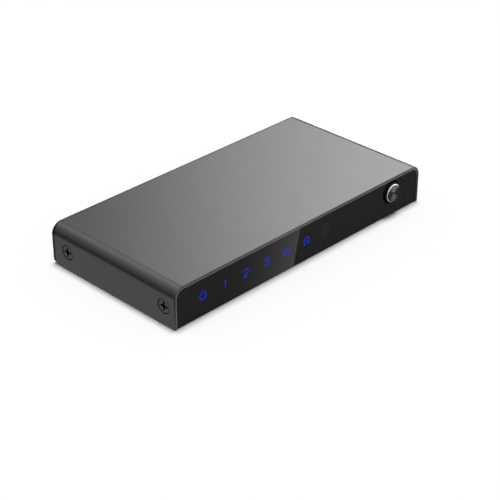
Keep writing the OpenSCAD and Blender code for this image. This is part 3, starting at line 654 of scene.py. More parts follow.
def front_rim_mask(tree, split):
    """Mask of the cut front rim, which fades out at the right end as painted shade."""
    low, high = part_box("top_cover")
    at_front = fall(tree, split[1], low.y + 0.02 * MM, low.y + 0.05 * MM)
    # Painted shade: the pale rim fades out near the right end
    right_end_shade_fade = fall(tree, split[0], high.x - 4.0 * MM, high.x - 1.0 * MM)
    return math_node(tree, "MULTIPLY", at_front, right_end_shade_fade)


def front_rim_colour(tree, split, shade, look):
    """Colours across the front rim: painted shade on the outer part, darker still in the bend, then the
    pale cut rim, then a painted shadow line next to the panel.
    """
    soft = 0.05 * MM
    depth = sheet_depth(tree, split, look)
    pale = ramp(tree, depth, look.rim_from - soft, look.rim_from + soft)
    gap_shadow_mask = ramp(tree, depth, look.rim_to - soft, look.rim_to + soft)
    over_foot = ramp(tree, split[2], low=3.0 * MM, high=11.0 * MM)
    under_top = fall(tree, split[2], low=14.5 * MM, high=17.0 * MM)
    bend_shade_mask = math_node(tree, "MULTIPLY", over_foot, under_top)
    # Painted shade on the rim's outer part, darker in the bend; painted shadow line where the rim meets the
    # panel
    outer = blend_colour(tree, bend_shade_mask, opaque(look.rim_shade), opaque(look.line))
    inner = blend_colour(tree, gap_shadow_mask, shaded(tree, shade, look.rim), opaque(look.recess_shade))
    return blend_colour(tree, pale, outer, inner)


def cover_material(look):
    """Satin coat with fine grain and worn edges, paler on the cut front rim, with painted shade along the
    rear edge, on the front rim and in the countersinks.
    """
    material, tree, shader = start_material("satin_coat")
    low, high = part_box("top_cover")
    grain = use_group(tree, "Fine grain", scale=5200.0, contrast=0.07)
    wear = use_group(
        tree, "Edge wear", centre=(low + high) / 2, half_size=(high - low) / 2,
        width=0.28 * MM, breakup=1400.0,
    )
    most_wear = 0.15
    worn = math_node(tree, "MULTIPLY", wear["Mask"], most_wear)
    split = place_parts(tree)
    rim = front_rim_mask(tree, split)
    rubbed = blend_colour(tree, worn, shaded(tree, grain["Shade"], look.coat), opaque(look.bare))
    # Painted shade along the rear edge
    rear_shaded = blend_colour(tree, rear_edge_shade_mask(tree, split, look), rubbed, opaque(look.line))
    rimmed = blend_colour(tree, rim, rear_shaded, front_rim_colour(tree, split, grain["Shade"], look))
    # Painted shade in the countersinks round the screw heads
    recess_shade_mask = near_screws(tree, screw_places()[0] + look.sink_gap)
    fill(tree, shader, {
        "Base Color": blend_colour(tree, recess_shade_mask, rimmed, opaque(look.recess_shade)),
        "Roughness": math_node(tree, "ADD", grain["Blotch"], look.roughness),
        "Metallic": math_node(tree, "SUBTRACT", 1.0, rim),
        "Normal": relief(tree, grain["Height"], depth=0.004 * MM, weight=0.5),
    })
    return material


def panel_material(look):
    """Gloss dark plastic with a round infrared window and faint smears; the button hole and its bevelled
    mouth are near black and dull, as painted shade.
    """
    material, tree, shader = start_material("gloss_panel")
    window_soft = 0.15 * MM
    off_window = vector_node(tree, "LENGTH", offset_from(tree, middle("infrared_receiver"), IN_PANEL))
    in_window = fall(
        tree, off_window, look.window_radius - window_soft, look.window_radius + window_soft, smooth=True
    )
    mouth = cap_radius() + look.hole_gap + look.hole_bevel
    mouth_soft = 0.04 * MM
    off_button = vector_node(tree, "LENGTH", offset_from(tree, middle("select_button_cap"), IN_PANEL))
    # Painted shade in the button hole and on its bevelled mouth
    hole_shade_mask = fall(tree, off_button, mouth, mouth + mouth_soft)
    grain = use_group(tree, "Fine grain", scale=900.0, contrast=0.06)
    body = shaded(tree, grain["Shade"], look.tint)
    windowed = blend_colour(tree, in_window, body, opaque(look.window))
    smear, polish, dull = 0.6, 0.025, 0.9
    smears = math_node(tree, "MULTIPLY_ADD", math_node(tree, "ABSOLUTE", grain["Blotch"]), smear, polish)
    fill(tree, shader, {
        "Base Color": blend_colour(tree, hole_shade_mask, windowed, opaque(look.hole)),
        "Roughness": blend_value(tree, hole_shade_mask, smears, dull),
        "Specular IOR Level": 0.25,
    })
    return material


def sign_material(look):
    """Lit print, brightest in front of each lamp."""
    material, tree, shader = start_material("lit_sign")
    places = sign_places()
    pitch = places[1].x - places[0].x
    split = place_parts(tree)
    shifted = math_node(tree, "ADD", math_node(tree, "SUBTRACT", split[0], places[0].x), pitch / 2)
    off_lamp = math_node(tree, "SUBTRACT", math_node(tree, "WRAP", shifted, pitch, 0.0), pitch / 2)
    above = math_node(tree, "SUBTRACT", split[2], places[0].z)
    squares = [math_node(tree, "MULTIPLY", distance, distance) for distance in (off_lamp, above)]
    lit_radius = 2.6 * MM
    fade = ramp(tree, math_node(tree, "ADD", *squares), 0.0, lit_radius ** 2, to_low=1.0, to_high=0.72)
    grain = use_group(tree, "Fine grain", scale=2500.0, contrast=0.12)
    level = math_node(tree, "MULTIPLY", fade, grain["Shade"])
    roughness = 0.3
    fill(tree, shader, {
        "Base Color": shaded(tree, grain["Shade"], look.unlit),
        "Emission Color": shaded(tree, level, look.glow_colour),
        "Emission Strength": look.glow,
        "Roughness": math_node(tree, "ADD", grain["Blotch"], roughness),
        "Specular IOR Level": 0.0,
    })
    return material


def spun_material(look):
    """Turned metal face: fine grooves round the middle throw the light out along each radius."""
    material, tree, shader = start_material("spun_face")
    flat = offset_from(tree, middle("select_button_cap"), IN_PANEL)
    ring = math_node(tree, "DIVIDE", vector_node(tree, "LENGTH", flat), look.pitch)
    wave = math_node(tree, "SINE", math_node(tree, "MULTIPLY", ring, FULL_TURN))
    ring_number = math_node(tree, "FLOOR", ring)
    chance = add_node(tree, "ShaderNodeTexWhiteNoise", {"W": ring_number}, noise_dimensions="1D")
    uneven = chance.outputs["Value"]
    depth = ramp(tree, uneven, 0.0, 1.0, to_low=0.8, to_high=1.0)
    tilt = math_node(tree, "MULTIPLY_ADD", math_node(tree, "MULTIPLY", wave, depth), look.slope, look.cone)
    outwards = vector_node(tree, "NORMALIZE", flat)
    lean = add_node(tree, "ShaderNodeVectorMath", {0: outwards, "Scale": tilt}, operation="SCALE")
    facing = add_node(tree, "ShaderNodeNewGeometry").outputs["Normal"]
    groove_shade = ramp(tree, wave, -1.0, 1.0, to_low=0.85, to_high=1.1)
    fill(tree, shader, {
        "Base Color": shaded(tree, groove_shade, look.metal),
        "Roughness": ramp(tree, uneven, 0.0, 1.0, to_low=0.08, to_high=0.15),
        "Metallic": 1.0,
        "Normal": vector_node(tree, "NORMALIZE", vector_node(tree, "ADD", facing, lean.outputs[0])),
    })
    return material


def polished_material(look):
    """Polished bevel of the button, with faint turning lines."""
    material, tree, shader = start_material("polished_rim")
    lines = use_group(tree, "Drawn lines", stretch=(900.0, 9000.0, 900.0))["Lines"]
    spread = (0.3, 0.7)
    line_shade = ramp(tree, lines, *spread, to_low=0.95, to_high=1.02)
    fill(tree, shader, {
        "Base Color": shaded(tree, line_shade, look.polish),
        "Roughness": ramp(tree, lines, *spread, to_low=0.05, to_high=0.12),
        "Metallic": 0.5,
    })
    return material


def grained_material(name, rgb, roughness, scale, contrast, depth, gloss=0.5):
    """Coated, moulded, rubber or cast surface with fine grain and broad blotches."""
    material, tree, shader = start_material(name)
    grain = use_group(tree, "Fine grain", scale=scale, contrast=contrast)
    fill(tree, shader, {
        "Base Color": shaded(tree, grain["Shade"], rgb),
        "Roughness": math_node(tree, "ADD", grain["Blotch"], roughness),
        "Specular IOR Level": gloss,
        "Normal": relief(tree, grain["Height"], depth),
    })
    return material


def screw_material(look):
    """Blackened steel, with painted shade deep in the cross and on the lower part of the head's rounded
    rim.
    """
    material, tree, shader = start_material("blackened_steel")
    grain = use_group(tree, "Fine grain", scale=6000.0, contrast=0.1)
    outwards = math_node(tree, "ABSOLUTE", place_parts(tree)[0])
    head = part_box("cover_screws")[1].x
    # Painted shade more than about 0.03 to 0.12 mm under the head's face: the cross and the lower part of
    # the rim
    deep = fall(tree, outwards, head - 0.12 * MM, head - 0.03 * MM)
    metal = shaded(tree, grain["Shade"], look.metal)
    roughness = 0.36
    fill(tree, shader, {
        "Base Color": blend_colour(tree, deep, metal, opaque(look.cross_shade)),
        "Roughness": math_node(tree, "ADD", grain["Blotch"], roughness),
        "Metallic": 1.0,
    })
    return material


def drawn_metal_material(name, rgb, roughness, stretch):
    """Rolled or drawn metal with fine lines along its length."""
    material, tree, shader = start_material(name)
    lines = use_group(tree, "Drawn lines", stretch=stretch)["Lines"]
    spread = (0.25, 0.75)
    swing = 0.07
    line_shade = ramp(tree, lines, *spread, to_low=0.82, to_high=1.1)
    fill(tree, shader, {
        "Base Color": shaded(tree, line_shade, rgb),
        "Roughness": ramp(tree, lines, *spread, roughness - swing, roughness + swing),
        "Metallic": 1.0,
        "Normal": relief(tree, lines, depth=0.002 * MM, weight=0.4),
    })
    return material


def board_material():
    """Solder mask over copper tracks, with small round vias."""
    material, tree, shader = start_material("solder_mask")
    mask_colour, track_colour, via_colour = (0.008, 0.06, 0.026), (0.02, 0.13, 0.05), (0.55, 0.42, 0.2)
    place = object_place(tree)
    rows = {"Vector": place, "Scale": 260.0, "Mortar Size": 0.05, "Brick Width": 1.7, "Row Height": 0.22}
    tracks = add_node(tree, "ShaderNodeTexBrick", rows).outputs["Fac"]
    cells = add_node(tree, "ShaderNodeTexVoronoi", {"Vector": place, "Scale": 420.0}, feature="F1")
    via = fall(tree, cells.outputs["Distance"], low=0.13, high=0.16)
    grain = use_group(tree, "Fine grain", scale=6000.0, contrast=0.08)
    mask = shaded(tree, grain["Shade"], mask_colour)
    showing = ramp(tree, tracks, 0.0, 1.0, to_low=0.0, to_high=0.6)
    tracked = blend_colour(tree, showing, mask, opaque(track_colour))
    roughness = 0.3
    fill(tree, shader, {
        "Base Color": blend_colour(tree, via, tracked, opaque(via_colour)),
        "Roughness": math_node(tree, "ADD", grain["Blotch"], roughness),
        "Normal": relief(tree, tracks, depth=0.02 * MM, weight=0.5),
    })
    return material


# Grained finishes by material slot: name, colour, roughness, scale and contrast of the grain, its depth
GRAINED_SLOTS = {
    "tray_paint": ("powder_coat", (0.016, 0.016, 0.017), 0.5, 3600.0, 0.25, 0.02 * MM),
    "adhesive": ("adhesive_sheet", (0.52, 0.5, 0.44), 0.7, 2500.0, 0.12, 0.01 * MM),
    "black_plastic": ("black_moulding", (0.014, 0.014, 0.015), 0.42, 5200.0, 0.2, 0.008 * MM),
    "pale_plastic": ("pale_moulding", (0.62, 0.6, 0.55), 0.45, 5200.0, 0.08, 0.006 * MM),
    "infrared_plastic": ("infrared_moulding", (0.03, 0.012, 0.016), 0.2, 3000.0, 0.1, 0.003 * MM),
    "lamp": ("lamp_resin", (0.5, 0.55, 0.62), 0.2, 4000.0, 0.06, 0.003 * MM),
    "thermal_pad": ("thermal_pad", (0.42, 0.44, 0.47), 0.8, 4200.0, 0.15, 0.015 * MM),
    "ferrite": ("ferrite", (0.045, 0.043, 0.043), 0.6, 6000.0, 0.35, 0.02 * MM),
    "ceramic": ("ceramic", (0.36, 0.24, 0.14), 0.5, 7000.0, 0.2, 0.01 * MM),
}
# Metal finishes by material slot: name, colour, roughness and stretch of the lines
DRAWN_SLOTS = {
    "brass": ("plated_brass", (0.82, 0.6, 0.26), 0.24, ALONG_Y),
    "plain_steel": ("zinc_steel", (0.58, 0.58, 0.6), 0.28, ALONG_X),
    "socket_steel": ("nickel_steel", (0.66, 0.65, 0.63), 0.22, ALONG_Y),
    "black_aluminium": ("anodised_sink", (0.03, 0.03, 0.032), 0.42, ALONG_Y),
    "can_aluminium": ("can_aluminium", (0.75, 0.75, 0.76), 0.2, ABOUT_Z),
}


def slot_materials():
    """Finish of each material slot of the CAD nodes that stay as they are."""
    grained = {slot: grained_material(*finish) for slot, finish in GRAINED_SLOTS.items()}
    drawn = {slot: drawn_metal_material(*finish) for slot, finish in DRAWN_SLOTS.items()}
    return {"board": board_material(), **grained, **drawn}


# Shapes

def depth_in_sheet(point, high, bend):
    """How far a point lies inside the cover's outer outline, looking along the depth."""
    across = max(abs(point.x) - (high.x - bend), 0.0)
    up = max(point.z - (high.z - bend), 0.0)
    if across and up:
        return bend - math.hypot(across, up)
    return min(high.x - abs(point.x), high.z - point.z)


def outer_rim(bm, end, high, look):
    """Edges of the cover's outer outline at its front or rear end."""
    near = 10 * MERGE

    def on_rim(point):
        at_end = abs(point.y - end) < near
        return at_end and depth_in_sheet(point, high, look.bend) < look.sheet / 2

    return [edge for edge in bm.edges if all(on_rim(vert.co) for vert in edge.verts)]


def cover_shape(look):
    """Sheet bent along both sides, with its rear lower corners cut and its outer rims bevelled."""
    low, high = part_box("top_cover")
    bm = bmesh.new()
    outline = [(low.x, low.z), (low.x, high.z), (high.x, high.z), (high.x, low.z)]
    verts = chain(bm, [(x, low.y, z) for x, z in outline])
    bevelled(bm, verts[1:3], look.bend, "VERTICES", look.bend_steps)
    drawn = bmesh.ops.extrude_edge_only(bm, edges=bm.edges[:])["geom"]
    bmesh.ops.translate(bm, vec=(0, high.y - low.y, 0), verts=verts_of(drawn))
    bmesh.ops.bisect_plane(
        bm, geom=bm.verts[:] + bm.edges[:] + bm.faces[:], plane_co=(0, high.y - look.cut_length, low.z),
        plane_no=(0, look.cut_height, -look.cut_length), clear_outer=True,
    )
    cleaned(bm)
    if sum(face.normal.z * face.calc_area() for face in bm.faces) < 0:
        bmesh.ops.reverse_faces(bm, faces=bm.faces[:])
    bmesh.ops.solidify(bm, geom=bm.faces[:], thickness=look.sheet)
    bevelled(bm, outer_rim(bm, low.y, high, look), look.front_bevel, "EDGES", segments=1)
    bevelled(bm, outer_rim(bm, high.y, high, look), look.rear_round, "EDGES", segments=5)
    return bm


def countersink_shape(look):
    """Cone and hole for one screw, with Z out of the cover's side."""
    radius = screw_places()[0] + look.sink_gap
    depth = radius - look.hole_radius
    return turned([
        (0, OVERRUN), (radius + OVERRUN, OVERRUN), (look.hole_radius, -depth),
        (look.hole_radius, -2 * look.sheet), (0, -2 * look.sheet),
    ])


def panel_shape(look):
    """Flat panel with round upper corners and a softened front edge."""
    low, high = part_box("front_panel")
    bm = bmesh.new()
    outline = [(low.x, low.z), (high.x, low.z), (high.x, high.z), (low.x, high.z)]
    face = bm.faces.new([bm.verts.new((x, high.y, z)) for x, z in outline])
    upper = [vert for vert in face.verts if vert.co.z > (low.z + high.z) / 2]
    bevelled(bm, upper, look.corner, "VERTICES", look.corner_steps)
    front = verts_of(bmesh.ops.extrude_face_region(bm, geom=bm.faces[:])["geom"])
    bmesh.ops.translate(bm, vec=(0, low.y - high.y, 0), verts=front)
    front_edges = [edge for edge in bm.edges if edge.verts[0] in front and edge.verts[1] in front]
    bevelled(bm, front_edges, look.edge, "EDGES", segments=3)
    return cleaned(bm)


def button_hole_shape(look):
    """Hole for the button with a bevelled mouth, as a solid that faces the front."""
    low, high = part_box("front_panel")
    radius = cap_radius() + look.hole_gap
    depth = high.y - low.y + OVERRUN
    bm = turned([
        (0, OVERRUN), (radius + look.hole_bevel + OVERRUN, OVERRUN), (radius, -look.hole_bevel),
        (radius, -depth), (0, -depth),
    ])
    return facing_front(bm, "select_button_cap", low.y)


def bar(bm, start, end, width):
    """A straight stroke with square ends in the XY plane."""
    a, b = Vector((*start, 0)), Vector((*end, 0))
    along = (b - a).normalized()
    aside = Vector((-along.y, along.x, 0)) * width / 2
    bm.faces.new([bm.verts.new(point) for point in (a - aside, b - aside, b + aside, a + aside)])


def arc(bm, centre, radius, first, sweep, width):
    """A curved stroke in the XY plane, from an angle through a sweep, both in degrees."""
    steps = 28
    turn = Matrix.Rotation(math.radians(first), 3, "Z")
    pivot = Vector((*centre, 0))
    ends = [pivot + turn @ Vector((radius + side * width / 2, 0, 0)) for side in (-1, 1)]
    edge = bm.edges.new([bm.verts.new(point) for point in ends])
    bmesh.ops.spin(
        bm, geom=list(edge.verts) + [edge], cent=pivot, axis=(0, 0, 1), angle=math.radians(sweep),
        steps=steps, use_merge=False,
    )


def power_sign(bm, look):
    """Ring open at the top with a bar in the gap, in shares of the ring's radius."""
    arc(bm, (0, 0), look.ring, first=125, sweep=290, width=look.stroke)
    bar(bm, start=(0, 0.35 * look.ring), end=(0, 1.35 * look.ring), width=look.stroke)


def one_sign(bm, look):
    """The number one, in shares of half its height."""
    half = look.digit_height / 2
    stroke = look.thin * look.stroke
    bar(bm, start=(0.22 * half, -half), end=(0.22 * half, half), width=stroke)
    bar(bm, start=(-0.2 * half, 0.68 * half), end=(0.26 * half, 0.97 * half), width=stroke)


def two_sign(bm, look):
    """The number two: a hook, a slanting line and a foot."""
    half = look.digit_height / 2
    stroke = look.thin * look.stroke
    radius = 0.64 * half
    arc(bm, (0, half - radius), radius, first=172, sweep=-215, width=stroke)
    bar(bm, start=(0.73 * radius, half - 1.65 * radius), end=(-radius, -half), width=stroke)
    bar(bm, start=(-1.1 * radius, -half), end=(1.1 * radius, -half), width=stroke)


def three_sign(bm, look):
    """The number three: two bows, the lower one larger."""
    half = look.digit_height / 2
    stroke = look.thin * look.stroke
    upper, lower = 0.5 * half, 0.58 * half
    arc(bm, (0, half - upper), upper, first=165, sweep=-255, width=stroke)
    arc(bm, (0, -half + lower), lower, first=90, sweep=-255, width=stroke)


def loop_sign(bm, look, dots):
    """Loop open at the bottom with turned-out ends, round one or two dots."""
    arc(bm, (0, 0), look.loop, first=298, sweep=304, width=look.stroke)
    for side in (-1, 1):
        foot = Vector((side * 0.47, -0.88)) * look.loop
        toe = foot + Vector((side * 0.42, -0.12)) * look.loop
        bar(bm, foot, toe, look.stroke)
    dot = 0.7 * look.stroke
    dot_pitch = 1.7 * look.stroke
    for index in range(dots):
        height = (index - (dots - 1) / 2) * dot_pitch
        arc(bm, (0, height), dot / 2, first=0, sweep=360, width=dot)


def sign_shape(look):
    """All six signs as one thin film on the panel's face."""
    plain, wide_two, wide_three = 1.0, 1.1, 1.2
    drawings = [
        (plain, power_sign), (plain, one_sign), (wide_two, two_sign), (wide_three, three_sign),
        (plain, loop_sign, 1), (plain, loop_sign, 2),
    ]
    together = bmesh.new()
    for (widening, draw, *dots), place in zip(drawings, sign_places()):
        start = len(together.verts)
        draw(together, look, *dots)
        together.verts.ensure_lookup_table()
        wide = Matrix.Diagonal((widening, 1.0, 1.0, 1.0))
        bmesh.ops.transform(
            together, matrix=Matrix.Translation(place) @ FACING_FRONT @ wide, verts=together.verts[start:]
        )
    for face in together.faces:
        face.normal_update()
    turned_away = [face for face in together.faces if face.normal.y > 0]
    bmesh.ops.reverse_faces(together, faces=turned_away)
    bmesh.ops.translate(together, vec=(0, -look.film, 0), verts=together.verts[:])
    clear_of_panel = 0.9
    bmesh.ops.solidify(together, geom=together.faces[:], thickness=clear_of_panel * look.film)
    return together


def button_shape(look):
    """Cap with a flat face, a polished bevel and a bore at the rear for its stem."""
    low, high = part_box("select_button_cap")
    radius = cap_radius()
    depth = high.y - low.y
    face_edge = radius - look.shoulder - look.bevel
    bm = turned(
        [
            (0, 0), (face_edge, 0), (radius - look.shoulder, -look.bevel),
            (radius, -look.bevel - look.shoulder), (radius, -depth), (look.bore, -depth),
            (look.bore, look.bore_depth - depth), (0, look.bore_depth - depth),
        ],
        rounding=look.crisp, rounded=(1, 3),
    )
    # The shoulder and the side take the near-black painted shade material
    spun, polished, dark = range(3)
    for face in bm.faces:
        centre = face.calc_center_median()
        if math.hypot(centre.x, centre.y) < face_edge and centre.z > -look.crisp:
            face.material_index = spun
        else:
            face.material_index = polished if centre.z > -look.bevel else dark
    return facing_front(bm, "select_button_cap", low.y)


def screw_shape(look):
    """Countersunk screw with Z out of the head, which lies a little under the cover's side."""
    radius = screw_places()[0]
    top = -head_depth()
    neck = top - (radius - look.thread)
    return turned(
        [(0, top), (radius, top), (look.thread, neck), (look.thread, -look.screw_length),
         (0, -look.screw_length)],
        rounding=look.rim, rounded=(1,),
    )


def cross_shape(look):
    """Cross recess of a screw head, narrower at its floor, with Z out of the head."""
    bm = bmesh.new()
    bmesh.ops.create_cube(bm, size=1.0)
    bmesh.ops.scale(bm, vec=(look.slot, look.slot, look.depth + look.lip), verts=bm.verts[:])
    sides = [face for face in bm.faces if abs(face.normal.z) < 0.5]
    arms = bmesh.ops.extrude_discrete_faces(bm, faces=sides)["faces"]
    for face in arms:
        bmesh.ops.translate(bm, vec=face.normal * (look.arm - look.slot) / 2, verts=face.verts[:])
    floor = [vert for vert in bm.verts if vert.co.z < 0]
    bmesh.ops.scale(bm, vec=(look.taper, look.taper, 1.0), verts=floor)
    height = (look.lip - look.depth) / 2 - head_depth()
    bmesh.ops.translate(bm, vec=(0, 0, height), verts=bm.verts[:])
    return cleaned(bm)


def dome_shape(look):
    """Thin round dome of the push switch, with its top to the front."""
    low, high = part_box("push_switch_dome")
    base, height = (high.x - low.x) / 2, high.y - low.y
    ball = (base ** 2 + height ** 2) / (2 * height)
    steps = 10
    outside = []
    inside = []
    for radius, points in ((ball, outside), (ball - look.sheet, inside)):
        last = math.acos((ball - height) / radius)
        for step in range(steps + 1):
            turn = last * step / steps
            points.append((radius * math.sin(turn), radius * math.cos(turn) - ball))
    bm = turned(outside + inside[::-1], steps=48)
    return facing_front(bm, "push_switch_dome", low.y)


def foot_shape(look):
    """Round rubber foot with a soft lower edge, standing on the floor."""
    low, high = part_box("rubber_feet")
    height = high.z - low.z
    return turned(
        [(0, 0), (look.radius, 0), (look.radius, height), (0, height)],
        rounding=look.rounding, rounded=(1,), steps=64,
    )


# Operators

class SwitchBoxOperator:
    """What the operators share."""

    bl_options = {"REGISTER", "UNDO"}


class SWITCH_BOX_OT_cover(SwitchBoxOperator, bpy.types.Operator):
    """Build the bent sheet cover with its countersinks"""

    bl_idname = "switch_box.cover"
    bl_label = "Cover"

    def execute(self, context):
        look = context.scene.switch_box_cover
        piece = added("cover_sheet", cover_shape(look))
        carved(piece, at_screws(countersink_shape(look)))
        finished(piece, [cover_material(look)], "case", "top_cover")
        return {"FINISHED"}


class SWITCH_BOX_OT_front_panel(SwitchBoxOperator, bpy.types.Operator):
    """Build the gloss front panel with the button's hole"""

    bl_idname = "switch_box.front_panel"
    bl_label = "Front panel"

    def execute(self, context):
        look = context.scene.switch_box_panel
        piece = added("gloss_front", panel_shape(look))
        carved(piece, button_hole_shape(look))
        finished(piece, [panel_material(look)], "case", "front_panel")
        return {"FINISHED"}


class SWITCH_BOX_OT_signs(SwitchBoxOperator, bpy.types.Operator):
    """Build the lit signs on the front panel"""

    bl_idname = "switch_box.signs"
    bl_label = "Lit signs"

    def execute(self, context):
        look = context.scene.switch_box_signs
        finished(added("lit_signs", sign_shape(look)), [sign_material(look)], "case")
        return {"FINISHED"}


class SWITCH_BOX_OT_button(SwitchBoxOperator, bpy.types.Operator):
    """Build the select button's turned metal cap"""

    bl_idname = "switch_box.button"
    bl_label = "Select button"

    def execute(self, context):
        look = context.scene.switch_box_button
        piece = added("button_cap", button_shape(look))
        # Near-black painted shade for the cap's shoulder and side
        dark = grained_material(
            "painted_shade_side", look.side, roughness=0.6, scale=5000.0, contrast=0.15, depth=0.004 * MM, gloss=0.1
        )
        materials = [spun_material(look), polished_material(look), dark]
        finished(piece, materials, "select_button", "select_button_cap")
        return {"FINISHED"}


class SWITCH_BOX_OT_screws(SwitchBoxOperator, bpy.types.Operator):
    """Build the four cover screws with their cross recesses"""

    bl_idname = "switch_box.screws"
    bl_label = "Cover screws"

    def execute(self, context):
        look = context.scene.switch_box_screws
        piece = added("side_screws", at_screws(screw_shape(look)))
        carved(piece, at_screws(cross_shape(look)))
        finished(piece, [screw_material(look)], "case", "cover_screws")
        return {"FINISHED"}


class SWITCH_BOX_OT_dome(SwitchBoxOperator, bpy.types.Operator):
    """Build the push switch's snap dome"""

    bl_idname = "switch_box.dome"
    bl_label = "Snap dome"

    def execute(self, context):
        look = context.scene.switch_box_dome
        piece = added("snap_dome", dome_shape(look))
        steel = drawn_metal_material("spring_steel", look.steel, roughness=0.25, stretch=ALONG_X)
        finished(piece, [steel], "case", "push_switch_dome")
        seat = middle("push_switch_dome")
        seat.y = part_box("push_switch_dome")[1].y
        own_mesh(piece)
        return {"FINISHED"}


class SWITCH_BOX_OT_feet(SwitchBoxOperator, bpy.types.Operator):
    """Build the four rubber feet"""

    bl_idname = "switch_box.feet"
    bl_label = "Rubber feet"

    def execute(self, context):
        look = context.scene.switch_box_feet
        low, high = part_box("rubber_feet")
        places = [
            Matrix.Translation((x, y, low.z))
            for x in (low.x + look.radius, high.x - look.radius)
            for y in (low.y + look.radius, high.y - look.radius)
        ]
        piece = added("feet", copies(foot_shape(look), places))
        rubber = grained_material(
            "foot_rubber", look.rubber, roughness=0.82, scale=4200.0, contrast=0.3, depth=0.02 * MM
        )
        finished(piece, [rubber], "case", "rubber_feet")
        return {"FINISHED"}


class SWITCH_BOX_OT_frame_parts(SwitchBoxOperator, bpy.types.Operator):
    """Give the tray, sockets and inner parts of the frame their finishes"""

    bl_idname = "switch_box.frame_parts"
    bl_label = "Tray, sockets and inner parts"

    def execute(self, context):
        finishes = slot_materials()
        slots = {part["node"]: part["material_slot"] for part in frame["record"]["subparts"]}
        for name, piece in frame["nodes"].items():
            if piece.hide_render:
                continue
            piece.data.materials.clear()
            piece.data.materials.append(finishes[slots[name]])
        return {"FINISHED"}


# Stage

def stage_material(name, build):
    """A stage material whose surface is made by a function of its tree."""
    material = bpy.data.materials.new(name)
    material.use_nodes = True
    tree = material.node_tree
    tree.nodes.clear()
    add_node(tree, "ShaderNodeOutputMaterial", {"Surface": build(tree)})
    return material


def staged(name, bm, material):
    """A stage object, which isn't part of the box."""
    item = added(name, bm)
    item.data.materials.append(material)
    return item


def mirror_card(name, bm, build):
    """A stage object that shows in reflections alone."""
    card = staged(name, bm, stage_material(name, build))
    card.visible_camera = False
    card.visible_diffuse = False
    card.visible_shadow = False
    card.visible_transmission = False
    card.visible_volume_scatter = False


def glow(tree, level):
    """White emission at a level."""
    return add_node(tree, "ShaderNodeEmission", {"Color": (1, 1, 1, 1), "Strength": level}).outputs[0]


def sheet_shape(width, depth, matrix):
    """A flat rectangle at a place."""
    bm = bmesh.new()
    bmesh.ops.create_grid(bm, x_segments=1, y_segments=1, size=0.5)
    bmesh.ops.scale(bm, vec=(width, depth, 1), verts=bm.verts[:])
    return placed(bm, matrix)


def upright_shape(heading, distance, low, high, breadth):
    """An upright rectangle between two heights that faces the box from a heading in degrees."""
    turn = Matrix.Rotation(math.radians(heading), 4, "Z")
    out = Matrix.Translation((distance, 0, (low + high) / 2))
    return sheet_shape(high - low, breadth, turn @ out @ Matrix.Rotation(RIGHT_ANGLE, 4, "Y"))


def horizon_shape():
    """A round wall about the box, low apart from the quarter at the rear right."""
    low, high = 0.1, 0.5
    bm = bmesh.new()
    bmesh.ops.create_circle(bm, segments=64, radius=1.4)
    for vert in verts_of(bmesh.ops.extrude_edge_only(bm, edges=bm.edges[:])["geom"]):
        vert.co.z = high if vert.co.x > 0 and vert.co.y > 0 else low
    return bm


def floor_surface(tree, look):
    """Plain pale floor with hardly any mottling."""
    grain = use_group(tree, "Fine grain", scale=300.0, contrast=0.006)
    pale = shaded(tree, grain["Shade"], look.floor)
    return add_node(tree, "ShaderNodeBsdfDiffuse", {"Color": pale}).outputs[0]


def front_level(tree, place):
    """Level in front of the panel: dark, with a light patch that ends at a sharp edge."""
    dark, bright, patch_level = 0.16, 3.0, 0.9
    edge_point = Vector((-5.4, -35.6, 0)) * MM
    away = Vector((-0.607, -0.795, 0))
    fade = 25.5 * MM
    distance = vector_node(tree, "DOT_PRODUCT", vector_node(tree, "SUBTRACT", place, edge_point), away)
    falling = fall(tree, distance, 0.0, fade)
    beyond = math_node(tree, "GREATER_THAN", distance, 0.0)
    patch = math_node(tree, "MULTIPLY", math_node(tree, "MULTIPLY", falling, falling), beyond)
    sideways = add_node(tree, "ShaderNodeSeparateXYZ", {0: place}).outputs[0]
    base = ramp(tree, sideways, 97.0 * MM, 102.0 * MM, dark, bright)
    return math_node(tree, "MULTIPLY_ADD", patch, patch_level, base)


def floor_card_surface(tree):
    """What bright metal and gloss see of the floor: grey close to the box and dark farther off."""
    left_level, front_left_level, rear_level, right_level = 0.5, 0.3, 0.6, 0.08
    low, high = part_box("top_cover")
    place = object_place(tree)
    offset = vector_node(tree, "ABSOLUTE", vector_node(tree, "SUBTRACT", place, (low + high) / 2))
    outside = vector_node(tree, "SUBTRACT", offset, (high - low) / 2)
    beside = vector_node(tree, "MULTIPLY", vector_node(tree, "MAXIMUM", outside, (0, 0, 0)), (1, 1, 0))
    distance = vector_node(tree, "LENGTH", beside)
    fade = ramp(tree, distance, 20.0 * MM, 65.0 * MM, to_low=1.0, to_high=0.15, smooth=True)
    split = add_node(tree, "ShaderNodeSeparateXYZ", {0: place}).outputs
    at_left = math_node(tree, "LESS_THAN", split[0], low.x + 1.0 * MM)
    ahead = math_node(tree, "LESS_THAN", split[1], low.y)
    past_rear = math_node(tree, "GREATER_THAN", split[1], high.y)
    behind = math_node(tree, "MULTIPLY", past_rear, math_node(tree, "LESS_THAN", split[0], high.x))
    to_left = math_node(tree, "MULTIPLY", fade, blend_value(tree, ahead, left_level, front_left_level))
    rear_or_right = blend_value(tree, behind, right_level, rear_level)
    elsewhere = blend_value(tree, ahead, rear_or_right, front_level(tree, place))
    return glow(tree, blend_value(tree, at_left, elsewhere, to_left))


def left_card_surface(tree):
    """Dim card behind the left side, darkest near the floor."""
    return glow(tree, ramp(tree, place_parts(tree)[2], low=0.0, high=1.2, to_low=0.16, to_high=0.92))


def along_heading(tree, first, last, first_level, last_level):
    """A level that changes between two headings about the upright axis, in degrees."""
    split = place_parts(tree)
    heading = math_node(tree, "ARCTAN2", split[1], split[0])
    return ramp(tree, heading, math.radians(first), math.radians(last), first_level, last_level)


